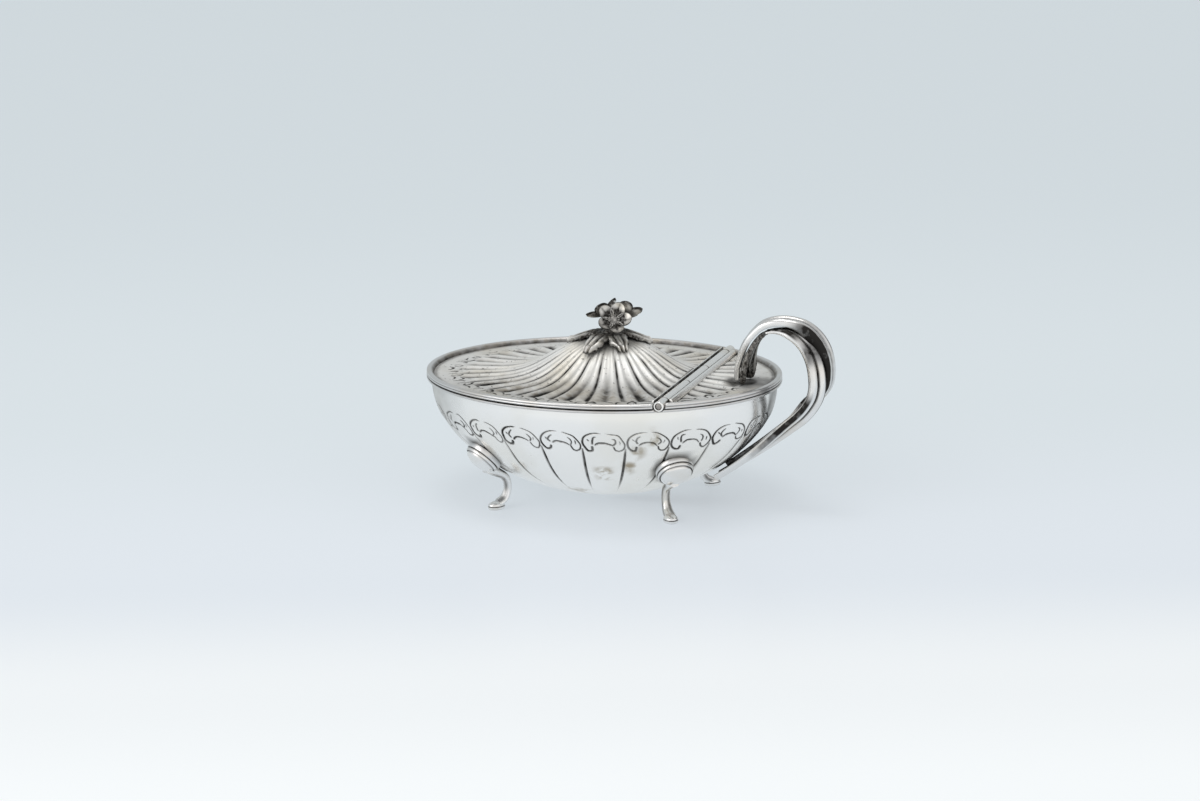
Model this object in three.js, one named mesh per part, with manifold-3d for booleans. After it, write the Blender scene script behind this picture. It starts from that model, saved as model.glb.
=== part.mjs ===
// Oval silver cheese dish on four feet, with a fluted lid hinged across the bowl, a floral
// finial and a loop handle of two crossed straps. Millimetres, +Z up, handle towards +X.

import * as THREE from 'three';
import Module from 'manifold-3d';
import { mergeVertices } from 'three/addons/utils/BufferGeometryUtils.js';

const wasm = await Module();
wasm.setup();

// Driving dimensions of the bowl

const rimHalfLength = 65;
const rimHalfWidth = 50.7;
const lobeCount = 22;
const bowlRimTop = 45.3;
const bowlWireHeight = 1.1;
const rimOverhang = 1.8;
const bowlWall = 1.0;
const bowlUnderside = 3;
const bowlFullness = 1.9;
const lobeStart = 30;
const lobeBulge = 0.55;

// Driving dimensions of the lid

const lidSeatGap = 0.25;
const lidWireHeight = 1.85;
const lidWireWidth = 2.6;
const wireRound = 0.55;
const lidThickness = 0.9;
const lidCentreX = 3;
const lidDomeHeight = 11.4;
const lidSkirtRise = 2.5;
const lidDomeReach = 24;
const lidCrownRadius = 5.5;
const lidFluteDepth = 0.8;

// Driving dimensions of the hinge

const hingeX = 34.6;
const hingeAxisAboveRim = 1.1;
const knuckleRadius = 1.8;
const hingePinRadius = 1.15;
const hingeBoreClearance = 0.1;
const runningGap = 0.3;
const endKnuckleLength = 6.5;
const middleKnuckleLength = 22;
const lidLeafWidth = 1.1;
const rearLeafWidth = 1.7;
const hingeLeafHeight = 1.9;
const hingeLeafRise = 0.6;
const hingeWebHeight = 1.1;

// Driving dimensions of the finial

const stemRadius = 1.6;
const stemHoleClearance = 0.15;
const stemHeightAboveLid = 6.5;
const stemKnobRadius = 2.6;
const rosetteRise = 2.6;
const rosetteTipHeight = 57.2;
const rosetteLeafWidth = 8.4;
const rosetteLeafThickness = 0.9;
const rosetteHubRadius = 4.2;
const flowerStalkRadius = 1;
const flowerButtonRadius = 1.7;
const petalCount = 5;
const petalLength = 5.6;
const petalWidth = 5.0;
const petalThickness = 1.1;
const petalCup = 0.3;
const washerRadius = 4;
const washerThickness = 0.8;
const nutAcrossCorners = 6.8;
const nutThickness = 2.4;

// Driving dimensions of the handle

const strapWidth = 6.6;
const strapThickness = 3.1;
const strapFootScale = 0.7;
const handleFootInset = 14.7;
const handleReach = 32.6;
const handleRise = 23.2;
const strapSpacing = 7.4;
const strapRootHeight = 14.7;
const strapRootStand = 2.5;
const strapRunSag = 1.0;
const frontRunOn = 3.8;
const leafRootWidth = 14;
const leafRootCurl = 2.2;
const leafRootThickness = 1.4;
const leafNotchRadius = 1.3;
const leafNotchHeight = 6;

// Driving dimensions of the feet

const footReachX = 32.7;
const footReachY = 25.1;
const footBossHeight = 20.5;
const footPlateDiameter = 13.6;
const footPlateThickness = 0.9;
const footBandDiameter = 13;
const footBandThickness = 1.2;
const footDomeDiameter = 11.4;
const footDomeRise = 2.5;
const footLegThickness = 3.0;
const footLegInset = 4.9;
const footToeLength = 6.6;
const footToeWidth = 5.2;
const footToeHeight = 2.2;

// The gap between soldered pieces that follow a curve

const seamGap = 0.1;

// Heights and places that follow

const bowlTop = bowlRimTop - bowlWireHeight;
const lidSeat = bowlRimTop + lidSeatGap;
const lidEdgeTop = lidSeat + lidThickness;
const lidWireTop = lidSeat + lidWireHeight;
const lidEdgeInset = lidWireWidth + seamGap;
const hingeZ = bowlRimTop + hingeAxisAboveRim;
const hingeFace = knuckleRadius + runningGap;
const lidCutX = hingeX - hingeFace - lidLeafWidth;
const rearCutX = hingeX + hingeFace + rearLeafWidth;
const lidHoleRadius = stemRadius + stemHoleClearance;

// Building solids from rings of points

const vector = (x = 0, y = 0, z = 0) => new THREE.Vector3(x, y, z);
const smooth = (from, to, value) => THREE.MathUtils.smoothstep(value, from, to);
const mix = THREE.MathUtils.lerp;
const steps = (count) => Array.from({ length: count + 1 }, (_, i) => i / count);

function closedGeometry(points, triangles) {
  let volume = 0;
  for (const [a, b, c] of triangles) {
    volume += points[a].dot(vector().crossVectors(points[b], points[c]));
  }
  const faces = volume < 0 ? triangles.map(([a, b, c]) => [a, c, b]) : triangles;
  const geometry = new THREE.BufferGeometry();
  geometry.setFromPoints(points);
  geometry.setIndex(faces.flat());
  return geometry;
}

// Skins a run of rings with equal point counts. Each end gets a fan to its middle, or the last
// ring joins the first when the run is a closed band.
function skin(rings, band = false) {
  const count = rings[0].length;
  const points = rings.flat();
  const triangles = [];
  const runs = band ? rings.length : rings.length - 1;
  for (let row = 0; row < runs; row += 1) {
    const next = (row + 1) % rings.length;
    for (let i = 0; i < count; i += 1) {
      const j = (i + 1) % count;
      triangles.push([row * count + i, row * count + j, next * count + j]);
      triangles.push([row * count + i, next * count + j, next * count + i]);
    }
  }
  const ends = band ? [] : [0, rings.length - 1];
  for (const row of ends) {
    const hub = points.length;
    const middle = rings[row].reduce((sum, point) => sum.add(point), vector());
    points.push(middle.divideScalar(count));
    for (let i = 0; i < count; i += 1) {
      const [a, b] = [row * count + i, row * count + ((i + 1) % count)];
      triangles.push(row === 0 ? [hub, b, a] : [hub, a, b]);
    }
  }
  return closedGeometry(points, triangles);
}

// Joining and cutting solids

function toManifold(geometry) {
  const bare = geometry.clone();
  bare.deleteAttribute('normal');
  bare.deleteAttribute('uv');
  const merged = mergeVertices(bare, 1e-4);
  return new wasm.Manifold(new wasm.Mesh({
    numProp: 3,
    vertProperties: new Float32Array(merged.attributes.position.array),
    triVerts: new Uint32Array(merged.index.array),
  }));
}

function fromManifold(solid) {
  const mesh = solid.getMesh();
  const geometry = new THREE.BufferGeometry();
  geometry.setAttribute('position', new THREE.BufferAttribute(mesh.vertProperties, 3));
  geometry.setIndex(new THREE.BufferAttribute(mesh.triVerts, 1));
  return geometry;
}

function cut(geometry, ...tools) {
  let solid = toManifold(geometry);
  for (const tool of tools) solid = solid.subtract(toManifold(tool));
  return fromManifold(solid);
}

function join(...geometries) {
  let solid = toManifold(geometries[0]);
  for (const other of geometries.slice(1)) solid = solid.add(toManifold(other));
  return fromManifold(solid);
}

// Plain shapes

function block(low, high) {
  const size = vector().subVectors(high, low);
  const middle = vector().addVectors(low, high).multiplyScalar(0.5);
  return new THREE.BoxGeometry(size.x, size.y, size.z).translate(middle.x, middle.y, middle.z);
}

function ringProfile(outer, inner, low, high) {
  const corners = [[inner, low], [outer, low], [outer, high], [inner, high], [inner, low]];
  return corners.map(([radius, height]) => new THREE.Vector2(radius, height));
}

function hingeRod(radius, low, high, sides) {
  const rod = new THREE.CylinderGeometry(radius, radius, high - low, sides);
  return rod.translate(hingeX, (low + high) / 2, hingeZ);
}

function uprightRod(radius, low, high, sides) {
  const rod = new THREE.CylinderGeometry(radius, radius, high - low, sides);
  return rod.rotateX(Math.PI / 2).translate(lidCentreX, 0, (low + high) / 2);
}

// Metals

const brightSilver = { color: 0xdcdad2, roughness: 0.26, metalness: 0.95 };
const warmSilver = { color: 0xc9c6b8, roughness: 0.34, metalness: 0.95 };
const darkSilver = { color: 0x8d8b84, roughness: 0.38, metalness: 0.95 };
const pinMetal = { color: 0x77726c, roughness: 0.5, metalness: 0.9 };

const dish = new THREE.Group();

function addPiece(name, geometry, metal) {
  const piece = new THREE.Mesh(geometry, new THREE.MeshStandardMaterial(metal));
  piece.name = name;
  dish.add(piece);
}

// The rim outline is an ellipse, stepped by equal lengths so that every lobe is as wide

const stepsPerLobe = 4;
const columnCount = lobeCount * stepsPerLobe;
const rimOutline = new THREE.EllipseCurve(0, 0, rimHalfLength, rimHalfWidth);
rimOutline.arcLengthDivisions = 1600;
const columns = Array.from({ length: columnCount }, (_, i) => {
  const point = rimOutline.getPointAt(i / columnCount);
  return {
    cosine: point.x / rimHalfLength,
    sine: point.y / rimHalfWidth,
    across: (i % stepsPerLobe) / stepsPerLobe,
  };
});

function ovalRing(halfLength, halfWidth, z, relief = () => 0) {
  return columns.map(({ cosine, sine, across }) => vector(
    (halfLength + relief(across)) * cosine,
    (halfWidth + relief(across)) * sine,
    z,
  ));
}

// How far it is from a point inside an oval to its edge, going one way
function distanceToOval(from, way, halfLength, halfWidth) {
  const square = (way.x / halfLength) ** 2 + (way.y / halfWidth) ** 2;
  const half = (from.x * way.x) / halfLength ** 2 + (from.y * way.y) / halfWidth ** 2;
  const rest = (from.x / halfLength) ** 2 + (from.y / halfWidth) ** 2 - 1;
  return (Math.sqrt(half ** 2 - square * rest) - half) / square;
}

function halfChord(x, inset) {
  return (rimHalfWidth - inset) * Math.sqrt(1 - (x / (rimHalfLength - inset)) ** 2);
}

// Bowl: raised from sheet, lobed below its border

const bowlHalfLength = rimHalfLength - rimOverhang;
const bowlHalfWidth = rimHalfWidth - rimOverhang;
const floorTip = 0.8;

function bowlShare(depth) {
  return Math.sqrt(1 - depth ** bowlFullness);
}

function lobeRelief(z, share) {
  const strength = smooth(0, 3, lobeStart - z) * smooth(0.1, 0.5, share);
  return (across) => lobeBulge * strength * (Math.sin(Math.PI * across) - 0.5);
}

function bowlRings(count, inset, floor, reliefAt) {
  const rings = steps(count).slice(0, -1).map((turn) => {
    const depth = Math.sin((turn * Math.PI) / 2);
    const share = bowlShare(depth);
    const z = mix(bowlTop, floor, depth);
    const [halfLength, halfWidth] = [bowlHalfLength - inset, bowlHalfWidth - inset];
    return ovalRing(halfLength * share, halfWidth * share, z, reliefAt(z, share));
  });
  rings.push(ovalRing(floorTip, floorTip, floor));
  return rings;
}

function bowlGeometry() {
  const outside = bowlRings(9, 0, bowlUnderside, lobeRelief);
  const inside = bowlRings(6, bowlWall, bowlUnderside + bowlWall, () => () => 0);
  return skin([...outside.reverse(), ...inside]);
}

addPiece('bowl', bowlGeometry(), brightSilver);

// The bowl's outside, grown by a seam, is cut out of what is soldered to it
const bowlRoom = skin(bowlRings(9, -seamGap, bowlUnderside - seamGap, lobeRelief));

// Rim wires: one round the bowl, and one round the lid that is parted at the hinge

function rimWire(section) {
  return skin(section.map(([inset, z]) => (
    ovalRing(rimHalfLength - inset, rimHalfWidth - inset, z)
  )), true);
}

function lidWire(bottom) {
  return rimWire([
    [wireRound, bottom],
    [0, bottom + wireRound],
    [0, lidWireTop - wireRound],
    [wireRound, lidWireTop],
    [lidWireWidth - wireRound, lidWireTop],
    [lidWireWidth, bottom],
  ]);
}

const bowlWire = rimWire([
  [wireRound, bowlTop],
  [0, bowlTop + bowlWireHeight / 2],
  [wireRound, bowlRimTop],
  [rimOverhang + bowlWall, bowlRimTop],
  [rimOverhang + bowlWall, bowlTop],
]);

const beyond = rimHalfLength * 2;
const hingePocket = hingeRod(hingeFace, -rimHalfWidth, rimHalfWidth, 16);
const behind = (x) => block(vector(x, -beyond, 0), vector(beyond, beyond, beyond));
const ahead = (x) => block(vector(-beyond, -beyond, 0), vector(x, beyond, beyond));

addPiece('bowl_rim_wire', cut(bowlWire, hingePocket), brightSilver);
addPiece('lid_rim_wire', cut(lidWire(lidSeat), behind(hingeX), hingePocket), brightSilver);
addPiece('rear_rim_wire', cut(lidWire(bowlRimTop), ahead(hingeX), hingePocket), brightSilver);

// Lid: a low skirt that sweeps up into a dome, fluted from the finial to a plain flange

const domeSpread = lidDomeReach / (rimHalfLength - lidEdgeInset);
const crownShare = lidCrownRadius / (rimHalfWidth - lidEdgeInset);

function lidHeight(share) {
  const outside = Math.max(share, crownShare);
  const skirt = lidSkirtRise * (1 - outside) ** 2;
  const dome = lidDomeHeight * Math.exp(-((outside / domeSpread) ** 3));
  return lidEdgeTop + skirt + dome;
}

// Each flute unit is two ribs with a soft hollow between them, and a sharp groove at its side
function fluteRelief(across, share, x) {
  const ribs = -0.35 * Math.cos(4 * Math.PI * across);
  const groove = across === 0 ? -0.65 : 0;
  const along = smooth(0.12, 0.4, share) * (1 - smooth(0.78, 0.88, share));
  const plainEnd = 1 - smooth(hingeX + 15, hingeX + 23, x);
  return lidFluteDepth * along * plainEnd * (ribs + groove);
}

function lidRing(share, drop, relief) {
  return columns.map(({ cosine, sine, across }) => {
    const place = vector(
      (rimHalfLength - lidEdgeInset) * cosine - lidCentreX,
      (rimHalfWidth - lidEdgeInset) * sine,
    );
    place.setLength(Math.max(lidHoleRadius, place.length() * share));
    const x = place.x + lidCentreX;
    return vector(x, place.y, lidHeight(share) - drop + relief(across, share, x));
  });
}

const hollowOnly = (across, share, x) => Math.min(0, fluteRelief(across, share, x));
const wholeLid = skin([
  ...[0, crownShare, 0.22, 0.31, 0.39, 0.48, 0.62, 0.78, 0.88, 1].map((share) => (
    lidRing(share, 0, fluteRelief)
  )),
  ...[1, 0.7, 0.42, 0.26, crownShare, 0].map((share) => (
    lidRing(share, lidThickness, hollowOnly)
  )),
], true);
addPiece('lid', cut(wholeLid, behind(lidCutX)), warmSilver);
addPiece('rear_lid', cut(wholeLid, ahead(rearCutX)), warmSilver);

// Hinge: a pin through five knuckles, with a leaf along each lid edge

const leafTop = hingeZ + hingeLeafHeight / 2 + hingeLeafRise;
const leafBottom = leafTop - hingeLeafHeight;
const hingeHalf = halfChord(hingeX, 0) + seamGap;
const boreRadius = hingePinRadius + hingeBoreClearance;

function hingeLeaf(name, low, high) {
  const half = halfChord(Math.max(low, high), lidEdgeInset) - seamGap;
  const leaf = block(vector(low, -half, leafBottom), vector(high, half, leafTop));
  addPiece(name, leaf, brightSilver);
}

hingeLeaf('lid_hinge_leaf', lidCutX + seamGap / 2, hingeX - hingeFace);
hingeLeaf('rear_hinge_leaf', hingeX + hingeFace, rearCutX - seamGap / 2);

// side is 1 for a knuckle of the fixed rear lid and -1 for one of the moving lid
function knuckle(name, low, high, side) {
  const tube = new THREE.LatheGeometry(ringProfile(knuckleRadius, boreRadius, low, high), 16);
  tube.translate(hingeX, 0, hingeZ);
  const webHalf = halfChord(rearCutX, lidEdgeInset) - runningGap;
  const [webLow, webHigh] = [Math.max(low, -webHalf), Math.min(high, webHalf)];
  const wall = (knuckleRadius + boreRadius) / 2;
  const ends = [hingeX + side * wall, hingeX + side * (hingeFace - seamGap / 2)];
  const web = block(
    vector(Math.min(...ends), webLow, hingeZ - hingeWebHeight / 2),
    vector(Math.max(...ends), webHigh, hingeZ + hingeWebHeight / 2),
  );
  addPiece(name, webHigh - webLow > runningGap ? join(tube, web) : tube, brightSilver);
}

const endInner = hingeHalf - endKnuckleLength;
const middleHalf = middleKnuckleLength / 2;
knuckle('rear_knuckle_front', -hingeHalf, -endInner, 1);
knuckle('lid_knuckle_front', -endInner + runningGap, -middleHalf - runningGap, -1);
knuckle('rear_knuckle_middle', -middleHalf, middleHalf, 1);
knuckle('lid_knuckle_back', middleHalf + runningGap, endInner - runningGap, -1);
knuckle('rear_knuckle_back', endInner, hingeHalf, 1);
addPiece('hinge_pin', hingeRod(hingePinRadius, -hingeHalf + seamGap, hingeHalf - seamGap, 16), pinMetal);

// Finial stem, through the lid, with its washer and nut inside

const lidCrown = lidHeight(0);
const stemTop = lidCrown + stemHeightAboveLid;
const washerTop = lidCrown - lidThickness - seamGap;
const nutTop = washerTop - washerThickness - seamGap;
const stemBottom = nutTop - nutThickness - stemRadius / 2;
const stemKnob = (radius) => new THREE.SphereGeometry(radius, 12, 8).translate(lidCentreX, 0, stemTop);
const stemBore = uprightRod(lidHoleRadius, stemBottom - 1, stemTop, 12);

function uprightRing(outer, low, high, sides) {
  return cut(uprightRod(outer, low, high, sides), stemBore);
}

const stemRod = uprightRod(stemRadius, stemBottom, stemTop, 12);
addPiece('finial_stem', join(stemRod, stemKnob(stemKnobRadius)), darkSilver);
addPiece('finial_washer', uprightRing(washerRadius, washerTop - washerThickness, washerTop, 16), pinMetal);
addPiece('finial_nut', uprightRing(nutAcrossCorners / 2, nutTop - nutThickness, nutTop, 6), pinMetal);

// Rosette of drooping leaves under the flowers. A leaf widens, then narrows to a blunt tip, and
// keeps clear of the dome below it. Each has its own direction and reach.

const rosetteTop = lidCrown + rosetteRise;
const leafDegreesAndReach = [[-178, 16.4], [-106, 16.2], [-50, 13.8], [24, 15.2], [76, 15], [128, 15.4]];

function rosetteLeaf([degrees, longest]) {
  const angle = THREE.MathUtils.degToRad(degrees);
  const way = vector(Math.cos(angle), Math.sin(angle));
  const side = vector(-way.y, way.x);
  const [lidLength, lidWidth] = [rimHalfLength - lidEdgeInset, rimHalfWidth - lidEdgeInset];
  const lidReach = distanceToOval(vector(lidCentreX, 0), way, lidLength, lidWidth);
  return skin(steps(5).map((along) => {
    const reach = mix(lidHoleRadius, longest, along);
    const carried = lidHeight(reach / lidReach) + runningGap + rosetteLeafThickness;
    const z = Math.max(mix(rosetteTop, rosetteTipHeight, along ** 1.8), carried);
    const half = (rosetteLeafWidth / 2) * (0.3 + 0.7 * Math.sin(Math.PI * (0.12 + 0.78 * along)));
    const top = [-1, -0.5, 0, 0.5, 1].map((share) => (
      [share * half, share === 0 ? 0.1 : 0.4 * (1 - share ** 2)]
    ));
    const under = [0.6, 0, -0.6].map((share) => [share * half, -rosetteLeafThickness]);
    return [...top, ...under].map(([across, up]) => vector(lidCentreX, 0, z + up)
      .addScaledVector(way, reach).addScaledVector(side, across));
  }));
}

const rosetteHub = uprightRod(rosetteHubRadius, lidCrown + runningGap, rosetteTop, 12);
const rosette = join(rosetteHub, ...leafDegreesAndReach.map(rosetteLeaf));
addPiece('finial_leaf_rosette', cut(rosette, stemBore), darkSilver);

// Flowers: each a button in a ring of cupped petals, made facing +Z and turned outwards

function flower() {
  const button = new THREE.SphereGeometry(flowerButtonRadius, 8, 4);
  const petals = Array.from({ length: petalCount }, (_, i) => {
    const petal = new THREE.SphereGeometry(0.5, 8, 4).rotateX(Math.PI / 2);
    petal.scale(petalLength, petalWidth, petalThickness).rotateY(-petalCup);
    petal.translate(petalLength * 0.62, 0, petalThickness * 0.6);
    return petal.rotateZ((i / petalCount) * 2 * Math.PI);
  });
  return join(button, ...petals);
}

// Each flower's place is from the top of the stem
const flowers = {
  finial_flower_front: { place: vector(3.0, -5.0, 0.9), facing: vector(0.3, -0.65, 0.6), spin: 0.93 },
  finial_flower_left: { place: vector(-3.3, 4.5, 0.8), facing: vector(-0.56, 0.19, 0.82), spin: 0 },
  finial_flower_right: { place: vector(4.4, 2.5, 1.3), facing: vector(0.02, 0.58, 0.81), spin: 0 },
};
for (const [name, { place, facing, spin }] of Object.entries(flowers)) {
  const turn = new THREE.Quaternion().setFromUnitVectors(vector(0, 0, 1), facing.normalize());
  const lean = new THREE.Quaternion().setFromUnitVectors(vector(0, 1, 0), place.clone().normalize());
  const length = place.length();
  const stalk = new THREE.CylinderGeometry(flowerStalkRadius, flowerStalkRadius, length, 6);
  stalk.translate(0, length / 2, 0).applyQuaternion(lean);
  const bloom = flower().rotateZ(spin).applyQuaternion(turn).translate(place.x, place.y, place.z);
  const whole = join(bloom, stalk).translate(lidCentreX, 0, stemTop);
  addPiece(name, cut(whole, stemKnob(stemKnobRadius + seamGap)), darkSilver);
}

// Handle straps: two reeded straps from the leaf, crossing low at the back, then down the bowl

function smoothPath(points) {
  return new THREE.CatmullRomCurve3(points.map((point) => vector(...point)), false, 'centripetal');
}

const reedRadius = strapThickness / 2;
const reedSpacing = strapWidth / 2 - reedRadius;
const reedGroove = 0.62 * reedRadius;
const reedArc = [80, 40, 0, -40, -80].map((degrees) => THREE.MathUtils.degToRad(degrees));
const reedSide = (side) => reedArc.map((angle) => [
  side * (reedSpacing + reedRadius * Math.cos(angle)),
  side * reedRadius * Math.sin(angle),
]);
const reedSection = [...reedSide(1), [0, -reedGroove], ...reedSide(-1), [0, reedGroove]];

function strap(path, count, tiltAt, widthAt) {
  return skin(steps(count).map((along) => {
    const place = path.getPointAt(along);
    const tangent = path.getTangentAt(along);
    const across = vector(0, 1, 0).addScaledVector(tangent, -tangent.y).normalize();
    across.applyAxisAngle(tangent, tiltAt(along));
    const outward = vector().crossVectors(across, tangent);
    return reedSection.map(([w, t]) => place.clone()
      .addScaledVector(across, w * widthAt(along))
      .addScaledVector(outward, t * widthAt(along)));
  }));
}

// The loop is laid out in shares of its reach from the foot, of the straps' half spacing and of
// its rise above the rim. Each strap then runs straight down, with a little sag, to its root.
function handlePoint([reach, aside, rise]) {
  return [
    rimHalfLength - handleFootInset + reach * handleReach,
    (aside * strapSpacing) / 2,
    bowlRimTop + rise * handleRise,
  ];
}

const rootDepth = (bowlTop - strapRootHeight) / (bowlTop - bowlUnderside);
const backRoot = vector(
  bowlHalfLength * bowlShare(rootDepth) + strapRootStand,
  strapSpacing / 2,
  strapRootHeight,
);

function strapPath(loop, root) {
  const points = loop.map(handlePoint);
  const belly = vector(...points[points.length - 1]);
  const run = steps(6).slice(1).map((along) => {
    const { x, y, z } = belly.clone().lerp(root, along);
    return [x, y, z - strapRunSag * Math.sin(Math.PI * along)];
  });
  return smoothPath([...points, ...run]);
}

const backLoop = [
  [0, 0, 0.069], [0.003, 0, 0.194], [0.012, 0, 0.293], [0.034, 0, 0.392], [0.061, 0, 0.509],
  [0.098, 0, 0.621], [0.144, 0, 0.72], [0.206, 0.03, 0.823], [0.282, 0.05, 0.918],
  [0.371, 0.08, 0.974], [0.482, 0.14, 1], [0.629, 0.22, 0.987], [0.761, 0.27, 0.931],
  [0.877, 0.35, 0.802], [0.96, 0.49, 0.616], [0.997, 0.65, 0.409], [1, 0.81, 0.211],
  [0.975, 0.95, 0.03], [0.899, 1, -0.134],
];
const frontLoop = [
  [0.334, -0.11, 0.832], [0.439, -0.16, 0.858], [0.567, -0.27, 0.845], [0.684, -0.41, 0.776],
  [0.779, -0.54, 0.668], [0.85, -0.68, 0.526], [0.896, -0.81, 0.362], [0.917, -0.92, 0.194],
  [0.92, -0.97, 0.039], [0.896, -1, -0.116], [0.834, -1, -0.272], [0.748, -1, -0.418],
];
const backStrapPath = strapPath(backLoop, backRoot);
const runWay = vector(-0.67, 0, -0.74);
const frontRoot = backRoot.clone().setY(-backRoot.y * 0.8).addScaledVector(runWay, frontRunOn);
const frontStrapPath = strapPath(frontLoop, frontRoot);
const rooted = (along) => mix(strapFootScale, 1, smooth(0, 0.16, along));
const tapered = (along) => mix(0.5, 1, smooth(0, 0.12, along));
const turned = (along) => 0.75 * smooth(0.05, 0.35, along) * (1 - smooth(0.5, 0.95, along));
const backStrap = strap(backStrapPath, 30, () => 0.1, rooted);
const frontStrap = strap(frontStrapPath, 26, turned, tapered);
addPiece('handle_strap_back', cut(backStrap, bowlRoom), brightSilver);
addPiece('handle_strap_front', cut(frontStrap, bowlRoom), brightSilver);

// Handle leaf: stands on the rear lid behind the strap's foot, hollow to the back, with three lobes

const leafFootZ = lidEdgeTop + 0.45;
const leafStem = [
  [0.043, 0, 0.194], [0.055, 0, 0.297], [0.08, 0, 0.401], [0.11, 0, 0.504], [0.147, 0, 0.603],
  [0.196, 0, 0.703], [0.258, 0, 0.797],
].map(handlePoint);
const leafPath = smoothPath([[leafStem[0][0] - 0.1, 0, leafFootZ], ...leafStem]);

function leafRoot() {
  return skin(steps(9).map((along) => {
    const place = leafPath.getPointAt(along);
    const tangent = leafPath.getTangentAt(along);
    const inward = vector(tangent.z, 0, -tangent.x);
    const half = mix(leafRootWidth, strapWidth * 0.8, smooth(0, 0.95, along)) / 2;
    const curl = mix(leafRootCurl, 0.2, smooth(0, 0.95, along));
    const point = (share, depth) => place.clone()
      .add(vector(0, share * half, 0))
      .addScaledVector(inward, curl * share ** 2 + depth);
    return [
      ...[-1, -0.6, -0.2, 0.2, 0.6, 1].map((share) => point(share, 0)),
      ...[1, 0.5, 0, -0.5, -1].map((share) => point(share, leafRootThickness)),
    ];
  }));
}

const leafNotches = [-1, 1].map((side) => {
  const notch = new THREE.ConeGeometry(leafNotchRadius, 2 * leafNotchHeight, 8).rotateX(Math.PI / 2);
  const middleX = leafPath.points[0].x + leafRootThickness / 2;
  return notch.translate(middleX, side * leafRootWidth * 0.22, leafFootZ);
});
const strapRoom = strap(backStrapPath, 30, () => 0.1, (along) => rooted(along) * 1.08);
addPiece('handle_leaf', cut(leafRoot(), strapRoom, ...leafNotches), darkSilver);

// Feet: a banded dome on a plate against the bowl, and a leg that kicks out to a flat toe. Each
// is made with its toe at the origin pointing along +X, then set in its corner facing straight
// out from the oval.

const footPlace = vector(footReachX, footReachY);
const footWay = vector(footReachX / bowlHalfLength ** 2, footReachY / bowlHalfWidth ** 2).normalize();

function bowlReach(z) {
  const share = bowlShare((bowlTop - z) / (bowlTop - bowlUnderside));
  return distanceToOval(footPlace, footWay, bowlHalfLength * share, bowlHalfWidth * share);
}

const seatRise = bowlReach(footBossHeight + 0.5) - bowlReach(footBossHeight - 0.5);
const seatOut = vector(1, 0, -seatRise).normalize();
const seatDown = vector(seatOut.z, 0, -seatOut.x);
const seatPoint = vector(bowlReach(footBossHeight), 0, footBossHeight)
  .addScaledVector(seatOut, lobeBulge / 2 + seamGap);

function onSeat(geometry, stand) {
  const turn = new THREE.Quaternion().setFromUnitVectors(vector(0, 0, 1), seatOut);
  const place = seatPoint.clone().addScaledVector(seatOut, stand);
  return geometry.rotateX(Math.PI / 2).applyQuaternion(turn).translate(place.x, place.y, place.z);
}

function seatDisc(diameter, low, high) {
  const disc = new THREE.CylinderGeometry(diameter / 2, diameter / 2, high - low, 16);
  return onSeat(disc, (low + high) / 2);
}

function footBoss() {
  const dome = steps(4).slice(0, -1).map((turn) => {
    const angle = (turn * Math.PI) / 2;
    return new THREE.Vector2(
      (footDomeDiameter / 2) * Math.cos(angle),
      footBandThickness + footDomeRise * Math.sin(angle),
    );
  });
  return onSeat(new THREE.LatheGeometry([
    new THREE.Vector2(0, 0),
    new THREE.Vector2(footBandDiameter / 2, 0),
    new THREE.Vector2(footBandDiameter / 2, footBandThickness),
    ...dome,
    new THREE.Vector2(0, footBandThickness + footDomeRise),
  ], 16), footPlateThickness + seamGap);
}

function footLeg() {
  const start = seatPoint.clone()
    .addScaledVector(seatOut, footPlateThickness + footDomeRise * 0.6)
    .addScaledVector(seatDown, footBandDiameter * 0.28);
  const path = smoothPath([
    [start.x, 0, start.z], [0.12 * start.x - 1.1, 0, start.z * 0.84],
    [1 - footLegInset, 0, start.z * 0.7], [-footLegInset, 0, start.z * 0.53],
    [0.2 - footLegInset, 0, start.z * 0.36], [1.6 - footLegInset, 0, footToeHeight + 1],
    [4 - footLegInset, 0, footToeHeight * 0.85],
  ]);
  return skin(steps(7).map((along) => {
    const place = path.getPointAt(along);
    const tangent = path.getTangentAt(along);
    const outward = vector(-tangent.z, 0, tangent.x);
    const half = (footLegThickness / 2) * mix(1.5, 1, smooth(0, 0.4, along));
    const halfAcross = half * mix(1, 1.35, smooth(0.65, 1, along));
    return steps(8).slice(0, -1).map((turn) => place.clone()
      .add(vector(0, Math.cos(turn * 2 * Math.PI) * halfAcross, 0))
      .addScaledVector(outward, Math.sin(turn * 2 * Math.PI) * half));
  }));
}

function footToe() {
  const toe = new THREE.CylinderGeometry(0.5, 0.46, 1, 12).rotateX(Math.PI / 2);
  return toe.scale(footToeLength, footToeWidth, footToeHeight).translate(0, 0, footToeHeight / 2);
}

const plateTop = footPlateThickness + seamGap / 2;
const plateRoom = seatDisc(footPlateDiameter + 2 * seamGap, -footPlateDiameter / 2, plateTop);
const footCasting = cut(join(footBoss(), footLeg(), footToe()), plateRoom);
const footPlate = seatDisc(footPlateDiameter, -footPlateThickness, footPlateThickness);
const corners = {
  front_right: [1, -1],
  front_left: [-1, -1],
  back_left: [-1, 1],
  back_right: [1, 1],
};
for (const [corner, [sideX, sideY]] of Object.entries(corners)) {
  const angle = Math.atan2(sideY * footWay.y, sideX * footWay.x);
  const placed = (geometry) => geometry.clone().rotateZ(angle)
    .translate(sideX * footReachX, sideY * footReachY, 0);
  addPiece(`foot_${corner}`, cut(placed(footCasting), bowlRoom), brightSilver);
  addPiece(`foot_plate_${corner}`, cut(placed(footPlate), bowlRoom), brightSilver);
}

// The origin is under the middle of the whole object, on the table

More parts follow.
